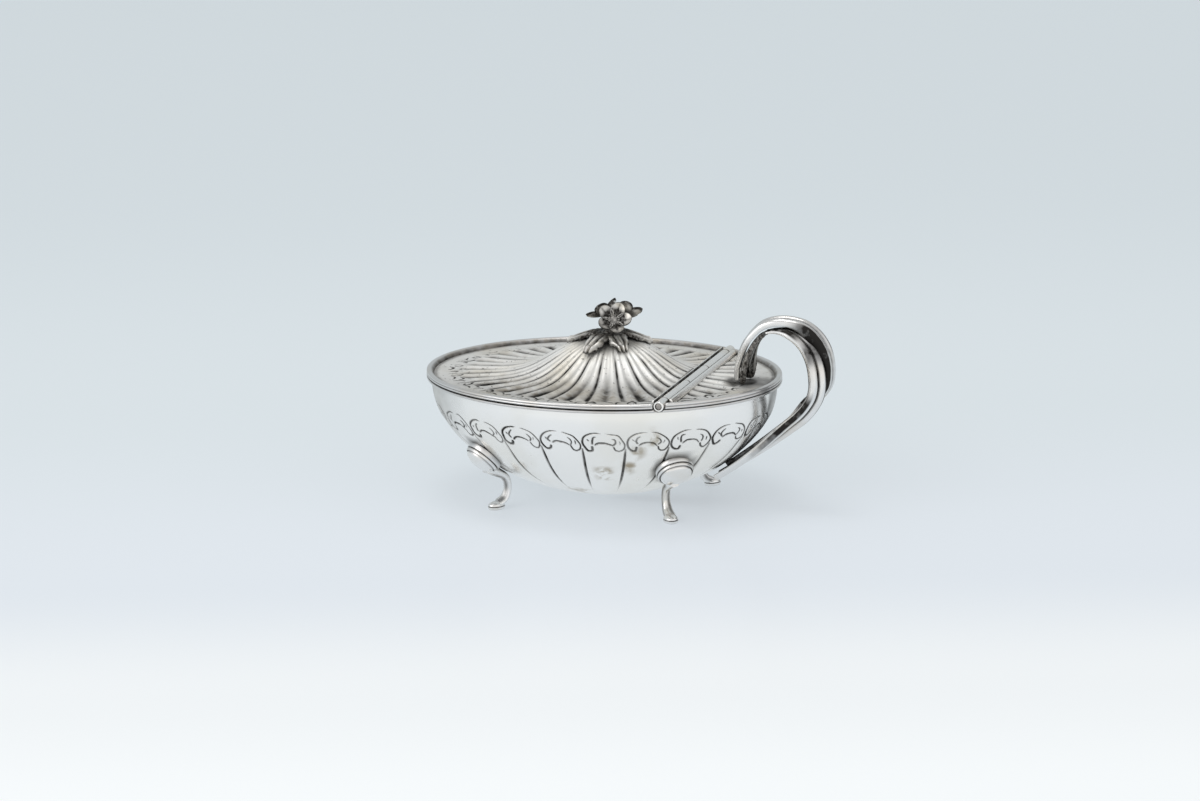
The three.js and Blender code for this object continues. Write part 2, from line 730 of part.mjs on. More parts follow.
const extent = new THREE.Box3().setFromObject(dish);
const middle = extent.getCenter(vector());
dish.position.set(-middle.x, -middle.y, -extent.min.z);

export default dish;
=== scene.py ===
# Oval silver cheese dish on four feet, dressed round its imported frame. Metres, +Z up, handle
# towards +X. Sizes below are millimetres from the middle of the bowl until a piece is made.

import math

import bmesh
import bpy
import numpy as np
from mathutils import Matrix, Quaternion, Vector


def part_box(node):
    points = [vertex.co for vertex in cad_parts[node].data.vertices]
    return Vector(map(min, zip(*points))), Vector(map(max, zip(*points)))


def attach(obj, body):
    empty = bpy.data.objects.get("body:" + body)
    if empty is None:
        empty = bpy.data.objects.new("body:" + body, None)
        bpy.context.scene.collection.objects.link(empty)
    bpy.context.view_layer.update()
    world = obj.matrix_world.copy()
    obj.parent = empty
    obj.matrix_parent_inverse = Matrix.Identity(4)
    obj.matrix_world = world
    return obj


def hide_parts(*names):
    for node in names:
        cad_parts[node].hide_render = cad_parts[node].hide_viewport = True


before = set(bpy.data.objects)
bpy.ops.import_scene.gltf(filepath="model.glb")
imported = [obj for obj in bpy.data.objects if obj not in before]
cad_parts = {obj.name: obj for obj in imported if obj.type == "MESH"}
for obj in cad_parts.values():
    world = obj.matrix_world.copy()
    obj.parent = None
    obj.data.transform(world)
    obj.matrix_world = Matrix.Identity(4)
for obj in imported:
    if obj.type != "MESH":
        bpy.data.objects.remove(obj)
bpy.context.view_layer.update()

# Camera
# A long lens from in front, turned a little to the handle's side and looking down at the rim.

mm = 0.001
bowl_low, bowl_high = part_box("bowl")
bowl_centre = np.array([(bowl_low.x + bowl_high.x) / 2, 0, 0])
view_azimuth = math.radians(19.182)
view_elevation = math.radians(14.39)
view_roll = math.radians(-1.153)
camera_from_bowl = Vector((379.448, -1094.925, 333.069)) * mm


def new_object(name, data):
    made = bpy.data.objects.new(name, data)
    bpy.context.scene.collection.objects.link(made)
    return made


level = math.cos(view_elevation)
view_back = Vector((
    math.sin(view_azimuth) * level,
    -math.cos(view_azimuth) * level,
    math.sin(view_elevation),
))
flat_right = Vector((math.cos(view_azimuth), math.sin(view_azimuth), 0))
flat_up = view_back.cross(flat_right)
view_right = flat_right * math.cos(view_roll) + flat_up * math.sin(view_roll)
view_up = view_back.cross(view_right)
camera_data = bpy.data.cameras.new("camera")
camera_data.lens = 100
camera_data.sensor_width = 36
camera_data.clip_start = 0.01
camera = new_object("camera", camera_data)
turn = Matrix((view_right, view_up, view_back)).transposed().to_4x4()
camera.matrix_world = Matrix.Translation(Vector(bowl_centre) + camera_from_bowl) @ turn
bpy.context.scene.camera = camera
bpy.context.scene.view_settings.view_transform = "Standard"

# Table
# A wide sheet of pale paint, blue-grey at the back and nearly white towards the camera.


def new_material(name):
    material = bpy.data.materials.new(name)
    material.use_nodes = True
    return material, material.node_tree, material.node_tree.nodes["Principled BSDF"]


def set_inputs(tree, node, inputs):
    """Gives each named input of a node a plain value or another node's result."""
    for name, value in inputs.items():
        if isinstance(value, bpy.types.NodeSocket):
            tree.links.new(value, node.inputs[name])
        else:
            node.inputs[name].default_value = value


def add_node(tree, kind, inputs=None, **settings):
    node = tree.nodes.new(kind)
    for setting, value in settings.items():
        setattr(node, setting, value)
    set_inputs(tree, node, inputs or {})
    return node


def maths(tree, operation, *values, clamp=False):
    """A maths node's result, from numbers or from other nodes' results."""
    inputs = dict(enumerate(values))
    return add_node(tree, "ShaderNodeMath", inputs, operation=operation, use_clamp=clamp).outputs[0]


def map_range(tree, value, low, high, to_low=0.0, to_high=1.0, **settings):
    """A result moved from one range of numbers to another."""
    inputs = {
        "Value": value, "From Min": low, "From Max": high, "To Min": to_low, "To Max": to_high
    }
    return add_node(tree, "ShaderNodeMapRange", inputs, **settings).outputs["Result"]


def add_ramp(tree, value, stops, interpolation="LINEAR"):
    """Colours along a value. Each stop is a place from 0 to 1 and a colour."""
    node = add_node(tree, "ShaderNodeValToRGB", {"Fac": value})
    node.color_ramp.interpolation = interpolation
    while len(node.color_ramp.elements) < len(stops):
        node.color_ramp.elements.new(0.5)
    for element, (place, colour) in zip(node.color_ramp.elements, stops):
        element.position = place
        element.color = (*colour, 1)
    return node.outputs["Color"]


table_half = 3.0
table_back = -1.3
table_front = 0.3
table_evenness = 0.55
mirrored_evenness = 0.8
table_colours = (
    (0.0, (0.698, 0.764, 0.799)),
    (0.45, (0.685, 0.749, 0.783)),
    (0.72, (0.722, 0.784, 0.817)),
    (0.87, (0.77, 0.82, 0.87)),
    (0.94, (0.90, 0.93, 0.945)),
    (1.0, (0.96, 0.99, 1.0)),
)
table_mesh = bpy.data.meshes.new("table")
corner_signs = ((-1, -1), (1, -1), (1, 1), (-1, 1))
table_corners = [(x * table_half, y * table_half, 0) for x, y in corner_signs]
table_mesh.from_pydata(table_corners, [], [(0, 1, 2, 3)])
table_paint, tree, shader = new_material("pale_table_paint")
place = add_node(tree, "ShaderNodeTexCoord").outputs["Object"]
turned = add_node(tree, "ShaderNodeMapping", {"Vector": place, "Rotation": (0, 0, -view_azimuth)})
parts = add_node(tree, "ShaderNodeSeparateXYZ", {"Vector": turned.outputs["Vector"]})
nearness = map_range(tree, parts.outputs["Y"], -table_back, -table_front)
blend = add_ramp(tree, nearness, table_colours, "EASE")
set_inputs(tree, shader, {"Base Color": blend, "Roughness": 0.35, "Specular IOR Level": 0.25})
rays = add_node(tree, "ShaderNodeLightPath")
looked_at = maths(tree, "MULTIPLY", rays.outputs["Is Camera Ray"], table_evenness)
mirrored = maths(tree, "MULTIPLY", rays.outputs["Is Glossy Ray"], mirrored_evenness)
glow = add_node(tree, "ShaderNodeEmission", {"Color": blend})
evened = add_node(tree, "ShaderNodeMixShader", {
    "Fac": maths(tree, "MAXIMUM", looked_at, mirrored),
    1: shader.outputs["BSDF"],
    2: glow.outputs["Emission"],
})
set_inputs(tree, tree.nodes["Material Output"], {"Surface": evened.outputs["Shader"]})
table_mesh.materials.append(table_paint)
new_object("table", table_mesh)

# Studio light
# A white tent with a grey-blue back wall and dark gaps beside it. One soft lamp overhead gives the
# faint shadow under the bowl, and one from the front left lights the near side.

tent_white = (0.97, 0.98, 1.0)
tent_side = (0.80, 0.81, 0.82)
wall_blue = (0.53, 0.57, 0.59)
wall_end = (0.62, 0.66, 0.70)
gap_dark = (0.03, 0.03, 0.035)
gap_grey = (0.34, 0.34, 0.35)
ceiling_grey = (0.62, 0.62, 0.62)
ceiling_from = 0.45
ceiling_full = 0.9
# Each colour round the tent and its bearing in degrees
tent_colours = (
    (-180, wall_end), (-150, tent_white), (-20, tent_white), (20, tent_side), (33, gap_grey),
    (40, gap_dark), (45, gap_grey), (50, gap_dark), (58, gap_grey), (66, wall_blue),
    (160, wall_blue), (180, wall_end),
)


def mixed(tree, share, first, second):
    """Two colours mixed. Each is three numbers or another node's result."""
    first, second = ((*c, 1) if isinstance(c, tuple) else c for c in (first, second))
    inputs = {"Factor": share, "A": first, "B": second}
    return add_node(tree, "ShaderNodeMix", inputs, data_type="RGBA").outputs["Result"]


world = bpy.data.worlds.new("studio_tent")
bpy.context.scene.world = world
world.use_nodes = True
tree = world.node_tree
looking = add_node(tree, "ShaderNodeTexCoord").outputs["Generated"]
parts = add_node(tree, "ShaderNodeSeparateXYZ", {"Vector": looking}).outputs
bearing = maths(tree, "ARCTAN2", parts["Y"], parts["X"])
round_tent = add_ramp(
    tree, map_range(tree, bearing, -math.pi, math.pi),
    [((degrees + 180) / 360, colour) for degrees, colour in tent_colours],
)
ceiling = map_range(
    tree, parts["Z"], ceiling_from, ceiling_full, interpolation_type="SMOOTHSTEP"
)
whole_tent = mixed(tree, ceiling, round_tent, ceiling_grey)
set_inputs(tree, tree.nodes["Background"], {"Color": whole_tent, "Strength": 1.05})
# Each lamp: its place, the point it is turned to, its width and length, and its power
for name, place, target, width, length, power in (
    ("overhead_lamp", (-0.1, -0.1, 1.4), (0, 0, 0), 0.7, 0.5, 4),
    ("front_left_lamp", (-1.1, -1.3, 0.9), (0, 0, 0.03), 1.1, 1.3, 6),
):
    lamp_data = bpy.data.lights.new(name, "AREA")
    lamp_data.shape = "RECTANGLE"
    lamp_data.size = width
    lamp_data.size_y = length
    lamp_data.energy = power
    lamp = new_object(name, lamp_data)
    lamp.location = place
    lamp.rotation_euler = (Vector(target) - Vector(place)).to_track_quat("-Z", "Y").to_euler()

# Bowl
# Raised from one sheet of silver. A border of chased scrolls runs round it, and from each
# parting of the scrolls a chased line runs down between two soft lobes.


def box_mm(node):
    """The two corners of a CAD node's box, in millimetres from the middle of the bowl."""
    return [(np.array(corner, float) - bowl_centre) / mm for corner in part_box(node)]


def to_frame(points):
    """Millimetres from the middle of the bowl as metres in the frame's place."""
    return np.asarray(points, float) * mm + bowl_centre


rim_low, rim_high = box_mm("bowl_rim_wire")
rim_half_length, rim_half_width = (rim_high - rim_low)[:2] / 2
bowl_top = bowl_high.z / mm
bowl_under = bowl_low.z / mm
rim_overhang = 1.8
bowl_half_length = rim_half_length - rim_overhang
bowl_half_width = rim_half_width - rim_overhang
bowl_fullness = 1.9
bowl_wall = 1.0
lobe_count = 22
lobe_start = 30
lobe_fade = 3
lobe_bulge = 0.55
shoulder_height = 33.5
shoulder_fade = 26.0
shoulder_push = 0.5


def smooth(low, high, value):
    """From 0 at one value to 1 at another, easing in and out."""
    share = np.clip((np.asarray(value, float) - low) / (high - low), 0, 1)
    return share * share * (3 - 2 * share)


oval_angles = np.linspace(0, 2 * math.pi, 6001)
oval_steps = np.hypot(
    np.diff(rim_half_length * np.cos(oval_angles)),
    np.diff(rim_half_width * np.sin(oval_angles)),
)
oval_lengths = np.concatenate(([0], np.cumsum(oval_steps)))
oval_lengths /= oval_lengths[-1]


def oval_way(fraction):
    """Cosine and sine on the rim oval, at a share of its whole length."""
    angle = np.interp(np.asarray(fraction) % 1, oval_lengths, oval_angles)
    return np.cos(angle), np.sin(angle)


def on_oval(fraction, half_length, half_width, z):
    """Points round the dish at shares of the rim oval's length."""
    cosine, sine = oval_way(fraction)
    x = half_length * cosine
    return np.stack([x, half_width * sine, z + 0 * x], -1)


def wall_share(z):
    """How wide the bowl is at a height, as a share of its width at the rim."""
    depth = (bowl_top - z) / (bowl_top - bowl_under)
    return np.sqrt(np.clip(1 - depth ** bowl_fullness, 0, 1))


def bowl_surface(fraction, z):
    share = wall_share(z)
    across = (fraction * lobe_count) % 1
    strength = smooth(0, lobe_fade, lobe_start - z) * smooth(0.1, 0.5, share)
    relief = lobe_bulge * strength * (np.sin(math.pi * across) - 0.5)
    above = (bowl_top - z) / (bowl_top - shoulder_height)
    below = (z - shoulder_fade) / (shoulder_height - shoulder_fade)
    relief = relief + shoulder_push * np.minimum(above, np.clip(below, 0, 1))
    return on_oval(fraction, bowl_half_length * share + relief, bowl_half_width * share + relief, z)


def sleeve(rings, ends=True, band=False):
    """Points and faces of a run of rings, closed at both ends or joined into a band."""
    rings = np.asarray(rings, float)
    row_count, count = rings.shape[:2]
    index = np.arange(row_count * count).reshape(row_count, count)
    here, there = (index, np.roll(index, -1, 0)) if band else (index[:-1], index[1:])
    faces = np.stack([here, np.roll(here, -1, 1), np.roll(there, -1, 1), there], -1)
    faces = [tuple(face) for face in faces.reshape(-1, 4).tolist()]
    if ends and not band:
        faces.append(tuple(index[0][::-1].tolist()))
        faces.append(tuple(index[-1].tolist()))
    return rings.reshape(-1, 3), faces


def gather(*shells):
    """Several shells as one set of points and faces."""
    points, faces = [], []
    for shell_points, shell_faces in shells:
        start = sum(len(p) for p in points)
        points.append(np.asarray(shell_points, float))
        faces += [tuple(i + start for i in face) for face in shell_faces]
    return np.concatenate(points), faces


def write_outwards(work, mesh):
    """Writes a worked mesh back with its faces turned outwards and shaded smooth."""
    bmesh.ops.recalc_face_normals(work, faces=work.faces)
    work.to_mesh(mesh)
    work.free()
    mesh.polygons.foreach_set("use_smooth", [True] * len(mesh.polygons))


def outward_mesh(name, points, faces):
    mesh = bpy.data.meshes.new(name)
    mesh.from_pydata(to_frame(points).tolist(), [], faces)
    work = bmesh.new()
    work.from_mesh(mesh)
    write_outwards(work, mesh)
    return mesh


def make_piece(name, mesh, material, crease=50):
    mesh.set_sharp_from_angle(angle=math.radians(crease))
    mesh.materials.clear()
    mesh.materials.append(material)
    return new_object(name, mesh)


def paint(mesh, name, values):
    """Writes a number on each point of a mesh, for its material."""
    layer = mesh.attributes.get(name) or mesh.attributes.new(name, "FLOAT", "POINT")
    layer.data.foreach_set("value", np.asarray(values, float).ravel())


stain_brown = (0.42, 0.36, 0.27)


def silver(name, bright, warm, dark, roughness, wear_scale, waviness, specks=0.0):
    """Polished silver with a soft warm patina, dark where its points are painted with shade and
    patina, and brown where they are painted with stains.
    """
    material, tree, shader = new_material(name)
    place = add_node(tree, "ShaderNodeTexCoord").outputs["Object"]

    def clouds(finer, detail, *ranges):
        inputs = {"Vector": place, "Scale": wear_scale * finer, "Detail": detail}
        return map_range(tree, add_node(tree, "ShaderNodeTexNoise", inputs).outputs["Fac"], *ranges)

    def painted(attribute, breaks):
        layer = add_node(tree, "ShaderNodeAttribute", attribute_name=attribute)
        return maths(tree, "MULTIPLY", layer.outputs["Fac"], breaks, clamp=True)

    tarnish = painted("tarnish", clouds(5, 4, 0.3, 0.7, 0.7, 1.2))
    stain = painted("stain", clouds(9, 6, 0.42, 0.6))
    colour = mixed(tree, clouds(1, 5, 0.48, 0.72), bright, warm)
    colour = mixed(tree, stain, colour, stain_brown)
    if specks:
        colour = mixed(tree, clouds(22, 3, 0.64, 0.72, 0, specks), colour, dark)
    worn = clouds(8, 4, 0, 1, roughness * 0.75, roughness * 1.3)
    hammered = add_node(tree, "ShaderNodeBump", {
        "Strength": 1,
        "Distance": waviness * mm,
        "Height": clouds(2.2, 2, 0, 1),
    })
    set_inputs(tree, shader, {
        "Base Color": mixed(tree, tarnish, colour, dark),
        "Metallic": 1,
        "Roughness": maths(tree, "MULTIPLY_ADD", tarnish, 0.3, worn),
        "Normal": hammered.outputs["Normal"],
    })
    return material


bowl_silver = silver(
    "bowl_silver", bright=(0.97, 0.955, 0.925), warm=(0.90, 0.87, 0.80), dark=(0.035, 0.033, 0.03),
    roughness=0.24, wear_scale=26.0, waviness=0.1,
)


def through(points, count):
    """A smooth line through points, at even steps of its length."""
    points = np.asarray(points, float)
    padded = np.concatenate([[2 * points[0] - points[1]], points, [2 * points[-1] - points[-2]]])
    gaps = np.maximum(np.linalg.norm(np.diff(padded, axis=0), axis=1) ** 0.5, 1e-6)
    knots = np.concatenate(([0], np.cumsum(gaps)))
    line = []
    for i in range(1, len(padded) - 2):
        t = np.linspace(knots[i], knots[i + 1], 24, endpoint=False)[:, None]
        p, k = padded[i - 1:i + 3], knots[i - 1:i + 3]
        a = [((k[j + 1] - t) * p[j] + (t - k[j]) * p[j + 1]) / (k[j + 1] - k[j]) for j in range(3)]
        b = [((k[j + 2] - t) * a[j] + (t - k[j]) * a[j + 1]) / (k[j + 2] - k[j]) for j in range(2)]
        line.append(((k[2] - t) * b[0] + (t - k[1]) * b[1]) / (k[2] - k[1]))
    line = np.concatenate([*line, points[-1:]])
    lengths = np.concatenate(([0], np.cumsum(np.linalg.norm(np.diff(line, axis=0), axis=1))))
    wanted = np.linspace(0, lengths[-1], count)
    return np.stack([np.interp(wanted, lengths, line[:, i]) for i in range(line.shape[1])], 1)


def strokes(name, lines):
    """Tool strokes as a mesh of edges. Each line is its points and how hard the tool was struck."""
    points, edges, weights = [], [], []
    for line, weight in lines:
        start = len(points)
        points += to_frame(line).tolist()
        edges += [(start + i, start + i + 1) for i in range(len(line) - 1)]
        weights += list(weight)
    mesh = bpy.data.meshes.new(name)
    mesh.from_pydata(points, edges, [])
    paint(mesh, "stroke", weights)
    return new_object(name, mesh)


def new_group(name, inputs):
    """A node group taking geometry, named inputs and a material, and the node that gives them."""
    group = bpy.data.node_groups.new(name, "GeometryNodeTree")
    for input_name, kind in (("Geometry", "Geometry"), *inputs, ("Material", "Material")):
        group.interface.new_socket(input_name, in_out="INPUT", socket_type="NodeSocket" + kind)
    group.interface.new_socket("Geometry", in_out="OUTPUT", socket_type="NodeSocketGeometry")
    return group, add_node(group, "NodeGroupInput")


def shape_of(group, given_object):
    inputs = {"Object": given_object}
    shape = add_node(group, "GeometryNodeObjectInfo", inputs, transform_space="ORIGINAL")
    return shape.outputs["Geometry"]


def painted_value(group, name):
    inputs = {"Name": name}
    layer = add_node(group, "GeometryNodeInputNamedAttribute", inputs, data_type="FLOAT")
    return layer.outputs["Attribute"]


def store_tarnish_and_shade(group, geometry, value):
    inputs = {"Geometry": geometry, "Name": "tarnish", "Value": value}
    kind = "GeometryNodeStoreNamedAttribute"
    return add_node(group, kind, inputs, data_type="FLOAT", domain="POINT").outputs["Geometry"]


def realized(group, geometry):
    whole = add_node(group, "GeometryNodeRealizeInstances", {"Geometry": geometry})
    return whole.outputs["Geometry"]


def finish_group(group, given, geometry):
    """Hands out what a node group makes, in the material that it was given."""
    finished = add_node(group, "GeometryNodeSetMaterial", {
        "Geometry": realized(group, geometry),
        "Material": given.outputs["Material"],
    })
    add_node(group, "NodeGroupOutput", {"Geometry": finished.outputs["Geometry"]})


def chasing_nodes():
    """Sinks a surface along the nearest tool stroke, and marks it as tarnished there."""
    group, given = new_group("chasing", (
        ("Strokes", "Object"), ("Half Width", "Float"), ("Depth", "Float"), ("Darkness", "Float"),
    ))
    drawn = shape_of(group, given.outputs["Strokes"])
    nearest = add_node(group, "GeometryNodeProximity", {0: drawn}, target_element="EDGES")
    closest_point = add_node(
        group, "GeometryNodeSampleNearest", {"Geometry": drawn}, domain="POINT"
    ).outputs["Index"]
    struck = add_node(group, "GeometryNodeSampleIndex", {
        "Geometry": drawn,
        "Value": painted_value(group, "stroke"),
        "Index": closest_point,
    }, data_type="FLOAT", domain="POINT").outputs["Value"]
    reach = maths(group, "MULTIPLY", given.outputs["Half Width"], struck)
    flat = maths(group, "MULTIPLY", reach, 0.3)
    distance = nearest.outputs["Distance"]
    groove = map_range(group, distance, flat, reach, 1, 0, interpolation_type="SMOOTHSTEP")
    sunk = maths(group, "MULTIPLY", groove, struck)
    darkness = maths(group, "MULTIPLY", sunk, given.outputs["Darkness"], clamp=True)
    darker = maths(group, "MAXIMUM", painted_value(group, "tarnish"), darkness)
    depth = maths(group, "MULTIPLY", sunk, given.outputs["Depth"])
    offset = add_node(group, "ShaderNodeVectorMath", {
        0: add_node(group, "GeometryNodeInputNormal").outputs["Normal"],
        "Scale": maths(group, "MULTIPLY", depth, -1.0),
    }, operation="SCALE")
    moved = add_node(group, "GeometryNodeSetPosition", {
        "Geometry": store_tarnish_and_shade(group, given.outputs["Geometry"], darker),
        "Offset": offset.outputs["Vector"],
    })
    finish_group(group, given, moved.outputs["Geometry"])
    return group


def settle(piece):
    """Turns what the modifiers make of a piece into its plain mesh."""
    bpy.context.view_layer.update()
    evaluated = piece.evaluated_get(bpy.context.evaluated_depsgraph_get())
    mesh = bpy.data.meshes.new_from_object(evaluated)
    piece.modifiers.clear()
    piece.data = mesh


def run_nodes(piece, group, values):
    """Shapes a piece by a node group, whose named inputs are set first."""
    modifier = piece.modifiers.new(group.name, "NODES")
    modifier.node_group = group
    for item in group.interface.items_tree:
        if item.item_type == "SOCKET" and item.in_out == "INPUT" and item.name in values:
            modifier[item.identifier] = values[item.name]
    settle(piece)


chasing = chasing_nodes()


def chase(piece, drawn, half_width, depth, darkness, material):
    run_nodes(piece, chasing, {
        "Strokes": drawn,
        "Half Width": half_width * mm,
        "Depth": depth * mm,
        "Darkness": darkness,
        "Material": material,
    })
    bpy.data.objects.remove(drawn)


columns_per_lobe = 66
column_count = lobe_count * columns_per_lobe
inner_column_count = 176
border_middle = 33.0
border_half = 4.3
plain_rows = 3
border_rows = 33
lobe_rows = 15
inner_rows = 14
bottom_gap = 0.0003
least_share = 0.01
bowl_fractions = np.arange(column_count) / column_count
plain_band = np.linspace(bowl_top, border_middle + border_half, plain_rows + 1)[:-1]
border_band = np.linspace(border_middle + border_half, border_middle - border_half, border_rows)
lobe_turns = np.linspace(0, 1, lobe_rows + 1)[1:]
lobe_band = bowl_under + (border_band[-1] - bowl_under) * (1 - np.sin(lobe_turns * math.pi / 2))
bowl_heights = np.concatenate([plain_band, border_band, lobe_band])
bowl_heights[-1] = bowl_under + bottom_gap
outer_rings = [bowl_surface(bowl_fractions, z) for z in bowl_heights]
outer_points, outer_faces = sleeve(outer_rings, ends=False)
inner_start = len(outer_points)
outer_faces.append(tuple(range(inner_start - column_count, inner_start)))
inner_rings = []
for depth in np.sin(np.linspace(0, 1, inner_rows) * math.pi / 2):
    share = max(math.sqrt(max(1 - depth ** bowl_fullness, 0)), least_share)
    inner_rings.append(on_oval(
        np.arange(inner_column_count) / inner_column_count,
        (bowl_half_length - bowl_wall) * share,
        (bowl_half_width - bowl_wall) * share,
        bowl_top + (bowl_under + bowl_wall - bowl_top) * depth,
    ))
inner_points, inner_faces = sleeve(inner_rings, ends=False)
inner_faces.append(tuple(range(len(inner_points) - inner_column_count, len(inner_points))))
bowl_points, bowl_faces = gather((outer_points, outer_faces), (inner_points, inner_faces))
step = column_count / inner_column_count
for i in range(inner_column_count):
    low, high = round(i * step), round((i + 1) * step)
    outer_edge = [k % column_count for k in range(low, high + 1)]
    inner_edge = [inner_start + (i + 1) % inner_column_count, inner_start + i]
    bowl_faces.append(tuple(outer_edge + inner_edge))

# Each line of a scroll: how hard it starts and ends, then its points across and up
scroll_lines = (
    (0.5, 1.25, ((-0.9, 3.6), (-3.0, 3.6), (-5.2, 3.0), (-6.9, 1.5), (-7.5, -0.5), (-7.0, -2.3),
                 (-5.7, -3.4), (-4.3, -3.2), (-3.9, -2.3))),
    (0.5, 0.9, ((-2.9, 2.4), (-3.9, 1.6), (-4.3, 0.4), (-4.0, -0.5))),
    (0.6, 0.5, ((-5.7, 1.3), (-5.5, 0.8), (-5.2, 0.4))),
    (1.0, 0.7, ((-3.3, -1.2), (-1.8, -0.3), (0.0, -0.1), (1.9, -0.5), (3.3, -1.4))),
    (0.5, 0.85, ((0.5, 3.6), (2.6, 3.3), (4.9, 2.3), (6.6, 0.8), (7.5, -1.0), (7.2, -2.7),
                 (5.9, -3.6), (4.4, -3.1), (3.9, -1.9))),
    (0.45, 0.8, ((2.7, 1.6), (4.0, 0.9), (4.4, -0.2), (3.8, -1.0))),
    (0.5, 0.4, ((5.4, 0.6), (5.7, 0.0), (5.6, -0.7))),
)
scroll_unevenness = 0.14
scroll_steps = 36
border_length = 351.0
lobe_width = border_length / lobe_count
chance = np.random.default_rng(7)
border_strokes = []
for lobe in range(lobe_count):
    for first, last, line_points in scroll_lines:
        shifts = chance.normal(0, scroll_unevenness, (len(line_points), 2))
        line = through(np.array(line_points) + shifts, scroll_steps)
        share = np.linspace(0, 1, scroll_steps)
        force = first + (last - first) * share + 0.15 * np.sin(math.pi * share)
        force = force * np.minimum(1, 0.4 + 8 * share)
        fraction = (lobe + 0.5 + line[:, 0] / lobe_width) / lobe_count
        placed = bowl_surface(fraction, border_middle + line[:, 1])
        border_strokes.append((placed, force * chance.uniform(0.8, 1.1)))
parting_top = 30.2
parting_bottom = 7.5
parting_steps = 60
parting_strokes = []
for lobe in range(lobe_count):
    z = np.linspace(parting_top, parting_bottom, parting_steps)
    force = smooth(parting_bottom, 18, z) * (0.7 + 0.3 * smooth(parting_top, 27, z))
    parting_strokes.append((bowl_surface(lobe / lobe_count + 0 * z, z), force + 0.02))

bowl = make_piece("bowl_chased", outward_mesh("bowl_chased", bowl_points, bowl_faces), bowl_silver)
# Painted shade on the outside of the bowl: darker towards its left end, a painted dark reflection
# round its right end under the handle, wider low down, and a faint painted shadow just under the
# rim.
handle_bearing = 8
bowl_x, bowl_y, bowl_z = bowl_points.T
wall_bearing = np.degrees(np.arctan2(bowl_y / bowl_half_width ** 2, bowl_x / bowl_half_length ** 2))
lower_wall = smooth(34, 24, bowl_z)
end_shade = 0.42 * smooth(34, 58, -bowl_x)
handle_shade = (0.6 + 0.4 * lower_wall) * smooth(
    17 + 6 * lower_wall, 12 + 5 * lower_wall, np.abs(wall_bearing - handle_bearing)
)
under_rim_shadow = 0.05 * smooth(bowl_top - 1.2, bowl_top - 0.2, bowl_z)
outer_painted_shade = np.max([end_shade, handle_shade, under_rim_shadow], axis=0)
outer_painted_shade[inner_start:] = 0
paint(bowl.data, "tarnish", outer_painted_shade)
# Each stain: the lobe and height of its middle, its width and height, and its strength
stains = (
    (17.5, 19.5, 5.0, 5.0, 1.6),
    (18.15, 22.5, 4.0, 4.0, 1.1),
    (18.6, 34.0, 3.5, 5.0, 1.0),
    (18.3, 29.0, 4.0, 6.0, 0.8),
    (16.5, 9.0, 6.5, 2.0, 1.5),
    (14.2, 26.0, 4.0, 7.0, 0.3),
    (5.3, 24.0, 5.0, 6.0, 0.5),
)
stained = np.zeros(len(bowl_points))
for lobe, height, width, tall, strength in stains:
    middle = bowl_surface(np.array(lobe / lobe_count), height)
    away = np.linalg.norm((bowl_points - middle) / (width, width, tall), axis=1)
    stained = np.maximum(stained, strength * (1 - smooth(0.2, 1.0, away)))
stained[inner_start:] = 0
paint(bowl.data, "stain", stained)
chase(
    bowl, strokes("border_strokes", border_strokes),
    half_width=0.52, depth=0.3, darkness=1.7, material=bowl_silver,
)
chase(
    bowl, strokes("parting_strokes", parting_strokes),
    half_width=0.62, depth=0.4, darkness=1.0, material=bowl_silver,
)
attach(bowl, "dish")
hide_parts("bowl")

# Rim wires
# Drawn silver mouldings soldered round the bowl and round each part of the cover. A fine groove
# parts the cover's moulding into two beads, and it stops short of the hinge tube.

pin_low, pin_high = box_mm("hinge_pin")
hinge_x, _, hinge_z = (pin_low + pin_high) / 2
pin_radius = (pin_high - pin_low)[2] / 2
tube_low, tube_high = box_mm("lid_knuckle_front")
tube_radius = (tube_high - tube_low)[2] / 2
tube_room = tube_radius + 0.3
rim_column_count = lobe_count * 14
rim_fractions = np.arange(rim_column_count) / rim_column_count
# Each point of a moulding: how far in and how far up it is, and how dark. The dark is painted
# shade:
# under each wire, on the bowl's moulding where the cover's wire stands over it, and in the cover's
# bead groove and on its inner slope.
bead_section = (
    (0.40, 0.0, 0.9), (0.10, 0.14, 0.5), (0.0, 0.40, 0), (0.05, 0.62, 0), (0.20, 0.76, 0.3),
    (0.26, 0.86, 0.75), (0.10, 0.98, 0.2), (0.03, 1.2, 0), (0.08, 1.5, 0), (0.28, 1.74, 0),
    (0.62, 1.84, 0), (1.2, 1.85, 0), (1.65, 1.76, 0.1), (1.95, 1.5, 0.4), (2.3, 1.15, 0.65),
    (2.6, 0.7, 0.8), (2.6, 0.0, 0.8), (2.2, 0.0, 0.1), (0.9, 0.0, 0.1),
)
flat_section = (
    (0.45, 0.0, 0.8), (0.12, 0.15, 0.2), (0.0, 0.5, 0), (0.1, 0.85, 0.2), (0.4, 1.02, 0.8),
    (0.9, 1.1, 0.9), (1.3, 1.1, 0.1), (2.8, 1.1, 0.1), (2.8, 0.0, 0.3),
)
brown_from = 1.9


def keep_side(mesh, x, keep_low):
    """Cuts a mesh on a plane across the bowl and closes the cut."""
    work = bmesh.new()
    work.from_mesh(mesh)
    made = bmesh.ops.bisect_plane(
        work,
        geom=work.verts[:] + work.edges[:] + work.faces[:],
        plane_co=to_frame((x, 0, 0)),
        plane_no=(1, 0, 0),
        clear_outer=keep_low,
        clear_inner=not keep_low,
    )
    edges = [item for item in made["geom_cut"] if isinstance(item, bmesh.types.BMEdge)]
    bmesh.ops.holes_fill(work, edges=edges)
    write_outwards(work, mesh)


def even_turns(count):
    return np.arange(count) / count * 2 * math.pi


